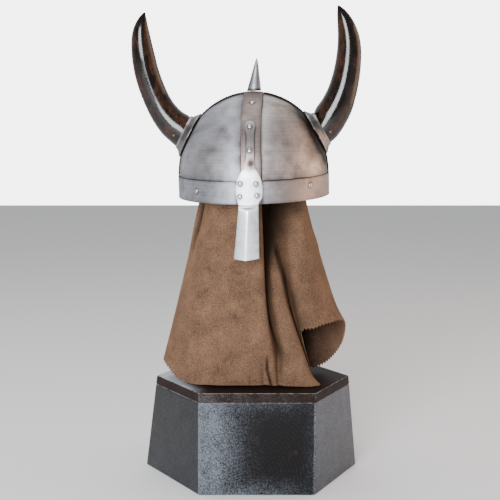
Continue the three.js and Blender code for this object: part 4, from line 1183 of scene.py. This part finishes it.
# turn is the place on the form in degrees from the nose; the rest are shares: sideways of drape_half_width,
# depth of drape_half_depth and the hem's height of rim_above_lid.
strands = np.array([
    # turn, rim x, rim y, middle x, middle y, hem x, hem y, hem up
    (180, 0, 1.04, 0, 1.09, 0, 1.05, 0.014),
    (207, -0.34, 0.96, -0.41, 1.04, -0.47, 1.19, 0.014),
    (238, -0.54, 0.56, -0.7, 0.69, -0.8, 0.84, 0.02),
    (264, -0.58, 0.11, -0.765, 0.13, -0.87, 0.13, 0.07),
    (284, -0.585, -0.24, -0.81, -0.26, -0.985, -0.24, 0.105),
    (304, -0.525, -0.63, -0.72, -0.65, -0.84, -0.63, 0.035),
    (324, -0.38, -0.89, -0.54, -0.87, -0.69, -0.78, 0.014),
    (341, -0.21, -0.98, -0.33, -0.96, -0.44, -0.87, 0.014),
    (353, -0.06, -1, -0.1, -1.01, -0.15, -0.9, 0.014),
    (362, 0.035, -0.95, 0.085, -0.98, 0.2, -0.89, 0.014),
    (368, 0.055, -0.42, 0.105, -0.56, 0.24, -0.87, 0.014),
    (373, 0.11, -0.33, 0.17, -0.9, 0.34, -0.9, 0.01),
    (379, 0.14, -0.3, 0.3, -0.87, 0.6, -0.87, 0.01),
    (385, 0.21, -0.45, 0.345, -0.58, 0.6, -0.56, 0.05),
    (393, 0.32, -0.64, 0.4, -0.82, 0.485, -0.72, 0.27),
    (403, 0.44, -0.7, 0.56, -0.8, 0.62, -0.7, 0.3),
    (418, 0.515, -0.52, 0.72, -0.6, 0.8, -0.62, 0.325),
    (437, 0.555, -0.18, 0.85, -0.22, 0.975, -0.4, 0.322),
    (455, 0.545, 0.15, 0.82, 0.1, 0.98, 0.03, 0.17),
    (472, 0.5, 0.47, 0.73, 0.41, 0.82, 0.33, 0.04),
    (490, 0.42, 0.74, 0.595, 0.64, 0.6, 0.36, 0.014),
    (513, 0.25, 0.93, 0.36, 1.02, 0.44, 1.15, 0.014),
])

# Small creases and swells pressed into the falls: where they lie, counted in strands, and how far they
# spread; their height and reach as shares of rim_above_lid; and their push sideways, forwards and up.
creases = np.array([
    # place, spread, height, reach, sideways, forwards, up
    (8.66, 0.13, 0.07, 0.075, 0.0, -6.0, 0.0),
    (9.05, 0.3, 0.05, 0.07, -2.0, 4.0, 0.0),
    (10.3, 0.9, 0.2, 0.1, 6.0, 0.0, 0.0),
    (10.7, 0.5, 0.08, 0.06, 0.0, 3.0, 0.0),
    (11.5, 0.16, 0.09, 0.09, 0.0, -2.5, 0.0),
    (12.25, 0.3, 0.0, 0.04, 9.0, 2.0, 0.0),
    (4.62, 0.16, 0.93, 0.19, 5.0, -5.0, 0.0),
    (4.1, 0.35, 0.86, 0.14, -2.5, 0.0, 0.0),
    (17.1, 0.6, 0.75, 0.022, 2.2, 0.0, 0.0),
    (6.1, 0.5, 0.35, 0.3, 0.0, -2.0, 0.0),
    (7.3, 0.5, 0.15, 0.2, 0.0, 2.0, 0.0),
    (15.6, 0.4, 0.45, 0.14, 0.0, -3.0, 0.0),
    (16.4, 0.3, 0.6, 0.12, 0.0, 2.0, 0.0),
])

# Deep in a fold the cloth is painted dark: painted shade where the fold lies in shadow. Each row is a height
# as a share of rim_above_lid, where the fold's middle lies, counted in strands, its spread to the left and
# the right of that, and its darkness.
folds = [
    np.array([(0.0, 10.4, 0.9, 0.3, 0), (0.13, 10.4, 1, 0.35, 0.3), (0.2, 10.4, 1, 0.5, 0.85),
              (0.35, 10.4, 1, 0.6, 1), (0.55, 10.4, 1, 0.65, 1), (0.66, 10.5, 1.1, 0.8, 1),
              (0.73, 10.7, 1.2, 1.5, 1), (0.8, 11, 1.6, 2.6, 1), (0.97, 11.2, 1.8, 4, 1)]),
    np.array([(0.0, 13.2, 0.8, 0.9, 0.3), (0.1, 13.2, 0.85, 0.9, 0.9), (0.2, 13.2, 0.8, 1, 1),
              (0.3, 13.3, 0.85, 1, 1), (0.37, 13.5, 0.95, 0.85, 1), (0.44, 13.5, 0.8, 0.75, 1),
              (0.49, 13.4, 0.6, 0.75, 1), (0.56, 13, 0.55, 0.9, 1), (0.63, 12.4, 0.45, 1, 1),
              (0.71, 12, 0.35, 0.9, 1), (0.78, 11.8, 0.3, 0.8, 0.3)]),
    np.array([(0.0, 8.84, 0.04, 0.1, 0.9), (0.05, 8.8, 0.04, 0.09, 1), (0.1, 8.73, 0.04, 0.09, 1),
              (0.155, 8.75, 0.04, 0.07, 0.8), (0.19, 8.76, 0.04, 0.05, 0)]),
    np.array([(0.7, 4.45, 0.1, 0.08, 0), (0.78, 4.5, 0.14, 0.08, 0.6), (0.97, 4.62, 0.16, 0.08, 0.85)]),
]
tooth_pitch = 5.3
tooth_depth = 3.4


def around_strands(points, at):
    """A closed curve through one point of each strand, read at places counted in strands."""
    count = len(points)
    low = np.floor(at).astype(int)
    share = (at - low)[:, None]
    return eased(*(points[(low + k) % count] for k in (-1, 0, 1, 2)), share)


def form_points(rise, out):
    angle = np.radians(strands[:, 0])
    reach = math.cos(math.radians(rise))
    return np.stack([
        (form_half_width + out) * reach * np.sin(angle),
        -(form_half_length + out) * reach * np.cos(angle),
        np.full(len(strands), form_shoulder + (form_dome + out) * math.sin(math.radians(rise))),
    ], axis=1)


def strand_place(x, y, up):
    height = plinth_height + seam + up * rim_above_lid
    return np.stack([x * drape_half_width, y * drape_half_depth, height * np.ones(len(strands))], axis=1)


falls = np.stack([
    on_stand(form_points(0, seam + drape_thick)),
    strand_place(strands[:, 1], strands[:, 2], 0.97),
    strand_place(strands[:, 3], strands[:, 4], drape_mid_share),
    strand_place(strands[:, 5], strands[:, 6], strands[:, 7]),
])


def fall_at(share):
    """Every strand at one share of its fall, by the same curve as in the part's source."""
    last = len(falls) - 1
    low = min(int(share * last), last - 1)
    before = falls[low - 1] if low > 0 else 2 * falls[0] - falls[1]
    after = falls[low + 2] if low + 2 <= last else 2 * falls[last] - falls[last - 1]
    return eased(before, falls[low], falls[low + 1], after, share * last - low, tension=0.4)


# Columns are spread evenly along the hem, four to a tooth
fine = np.linspace(0, len(strands), 6001)
hem_line = around_strands(fall_at(1.0), fine)
hem_length = np.concatenate([[0], np.cumsum(np.linalg.norm(np.diff(hem_line, axis=0), axis=1))])
teeth = int(round(hem_length[-1] / tooth_pitch))
columns = teeth * 4
at_columns = np.interp(np.linspace(0, hem_length[-1], columns, endpoint=False), hem_length, fine)
tooth_wave = np.abs((np.arange(columns) % 4) - 2) / 2
# Along the front the hem is rolled under on the lid, so that its teeth barely show; where it hangs high they
# stand out more
hem_x, hem_y, hem_z = around_strands(fall_at(1.0), at_columns).T
rolled = np.clip((hem_x + 98) / 8, 0, 1) * (hem_y < -60) * (hem_z < plinth_height + 14)
tooth_wave *= 1 - 0.9 * rolled + 0.3 * (hem_z > plinth_height + 40)

dome_rises = [78, 66, 54, 42, 30, 18, 8, 0]
skirt_shares = np.concatenate([np.linspace(0, 0.95, 44)[1:], [0.968, 0.984, 1.0]])
drape_outer = [on_stand(around_strands(form_points(rise, seam + drape_thick), at_columns))
               for rise in dome_rises]
drape_outer += [around_strands(fall_at(share), at_columns) for share in skirt_shares]
drape_outer = np.array(drape_outer)
fall_height = (drape_outer[:, :, 2] - plinth_height) / rim_above_lid
for place, spread, height, reach, sideways, forwards, upwards in creases:
    press = np.exp(-((at_columns[None, :] - place) / spread) ** 2 - ((fall_height - height) / reach) ** 2)
    drape_outer += press[:, :, None] * np.array([sideways, -forwards, upwards])


def cloth_facing(rings):
    round_ = np.roll(rings, -1, axis=1) - np.roll(rings, 1, axis=1)
    down = np.empty_like(rings)
    down[1:-1] = rings[2:] - rings[:-2]
    down[0] = rings[1] - rings[0]
    down[-1] = rings[-1] - rings[-2]
    facing = np.cross(down, round_)
    facing[-1, :, 2] = 0
    return facing / np.linalg.norm(facing, axis=2, keepdims=True)


drape_facing = cloth_facing(drape_outer)
drape_inner = drape_outer - drape_thick * drape_facing
for k, rise in enumerate(dome_rises):
    drape_inner[k] = on_stand(around_strands(form_points(rise, seam), at_columns))
cut = drape_outer[-1] - drape_outer[-2]
cut *= tooth_depth / np.linalg.norm(cut, axis=1, keepdims=True) * tooth_wave[:, None]
for layer in (drape_outer, drape_inner):
    layer[-1] -= cut
    layer[-2] -= 0.35 * cut
drape_poles = on_stand([(0, 0, form_top + seam + drape_thick), (0, 0, form_top + seam)])
drape = solid("suede_drape", list(drape_outer) + list(drape_inner[::-1]), *drape_poles, sharp=70)
fold_shade = np.zeros(fall_height.shape)
for fold in folds:
    middle, left, right, dark = (np.interp(fall_height, fold[:, 0], fold[:, k]) for k in (1, 2, 3, 4))
    off = at_columns[None, :] - middle
    fold_shade = np.maximum(fold_shade, dark * np.exp(-np.abs(off / np.where(off < 0, left, right)) ** 2.4))
# Painted shade inside: the cloth that shows through the opening is painted darker towards the back
inner_shade = 0.8 * np.exp(-((at_columns - 20.6) / 1.7) ** 2)[None, :] * np.ones(fold_shade.shape)
both_sides = np.concatenate([fold_shade.ravel(), inner_shade.ravel(), [0, 0]])
remember(drape, "painted_cloth_shade", both_sides)
inner_share = [0] * len(drape_outer) + [1] * len(drape_inner)
remember(drape, "inside", np.concatenate([np.repeat(inner_share, columns), [0, 1]]))


def napped_suede(name, face, shade, flesh, under):
    """Brushed pigskin suede: it gives the eye a soft matt brown with a fine broken nap, cloudy where it was
    stroked, paler at a grazing angle, and darker on its flesh side. Painted shade darkens it deep in the
    folds and inside the opening. The nap is drawn about 1.4 mm apart, coarser than a real one, so that it
    shows."""
    cloth_shade_brown = 0x150D09
    raised_nap = 0xD9A070
    material, tree, shader, place = fresh_finish(name)
    nap = add(tree, "ShaderNodeTexNoise", {"Vector": place, "Scale": 700, "Detail": 4, "Roughness": 0.7})
    stroked = add(tree, "ShaderNodeTexNoise", {"Vector": place, "Scale": 38, "Detail": 6, "Roughness": 0.6})
    blend = add(tree, "ShaderNodeMath", {0: stroked.outputs["Fac"], 1: 0.45, 2: nap.outputs["Fac"]},
                operation="MULTIPLY_ADD")
    amount = add(tree, "ShaderNodeMapRange", {
        "Value": blend.outputs["Value"], "From Min": 0.58, "From Max": 0.88})
    outside = add(tree, "ShaderNodeMix", {
        0: amount.outputs["Result"], 6: linear(shade), 7: linear(face)}, data_type="RGBA")
    flesh_side = add(tree, "ShaderNodeMix", {
        0: amount.outputs["Result"], 6: linear(under), 7: linear(flesh)}, data_type="RGBA")
    inside = add(tree, "ShaderNodeAttribute", attribute_name="inside")
    coloured = add(tree, "ShaderNodeMix", {
        0: inside.outputs["Fac"], 6: outside.outputs[2], 7: flesh_side.outputs[2]}, data_type="RGBA")
    # Painted shade: deep in the folds and inside the opening the colour goes to near-black brown
    painted_cloth_shade = add(tree, "ShaderNodeAttribute", attribute_name="painted_cloth_shade")
    shaded = add(tree, "ShaderNodeMix", {
        0: painted_cloth_shade.outputs["Fac"], 6: coloured.outputs[2], 7: linear(cloth_shade_brown)}, data_type="RGBA")
    tree.links.new(shaded.outputs[2], shader.inputs["Base Color"])
    shader.inputs["Roughness"].default_value = 0.95
    shader.inputs["Specular IOR Level"].default_value = 0.2
    shader.inputs["Sheen Weight"].default_value = 0.18
    shader.inputs["Sheen Roughness"].default_value = 0.5
    shader.inputs["Sheen Tint"].default_value = linear(raised_nap)
    pile = add(tree, "ShaderNodeBump", {"Height": nap.outputs["Fac"], "Strength": 0.5, "Distance": 0.0006})
    tree.links.new(pile.outputs["Normal"], shader.inputs["Normal"])
    return material


drape.data.materials.append(napped_suede("napped_brown_suede", 0x7B5E47, 0x46342A, 0x7E614F, 0x55402F))
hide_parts("drape")
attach(drape, "root")
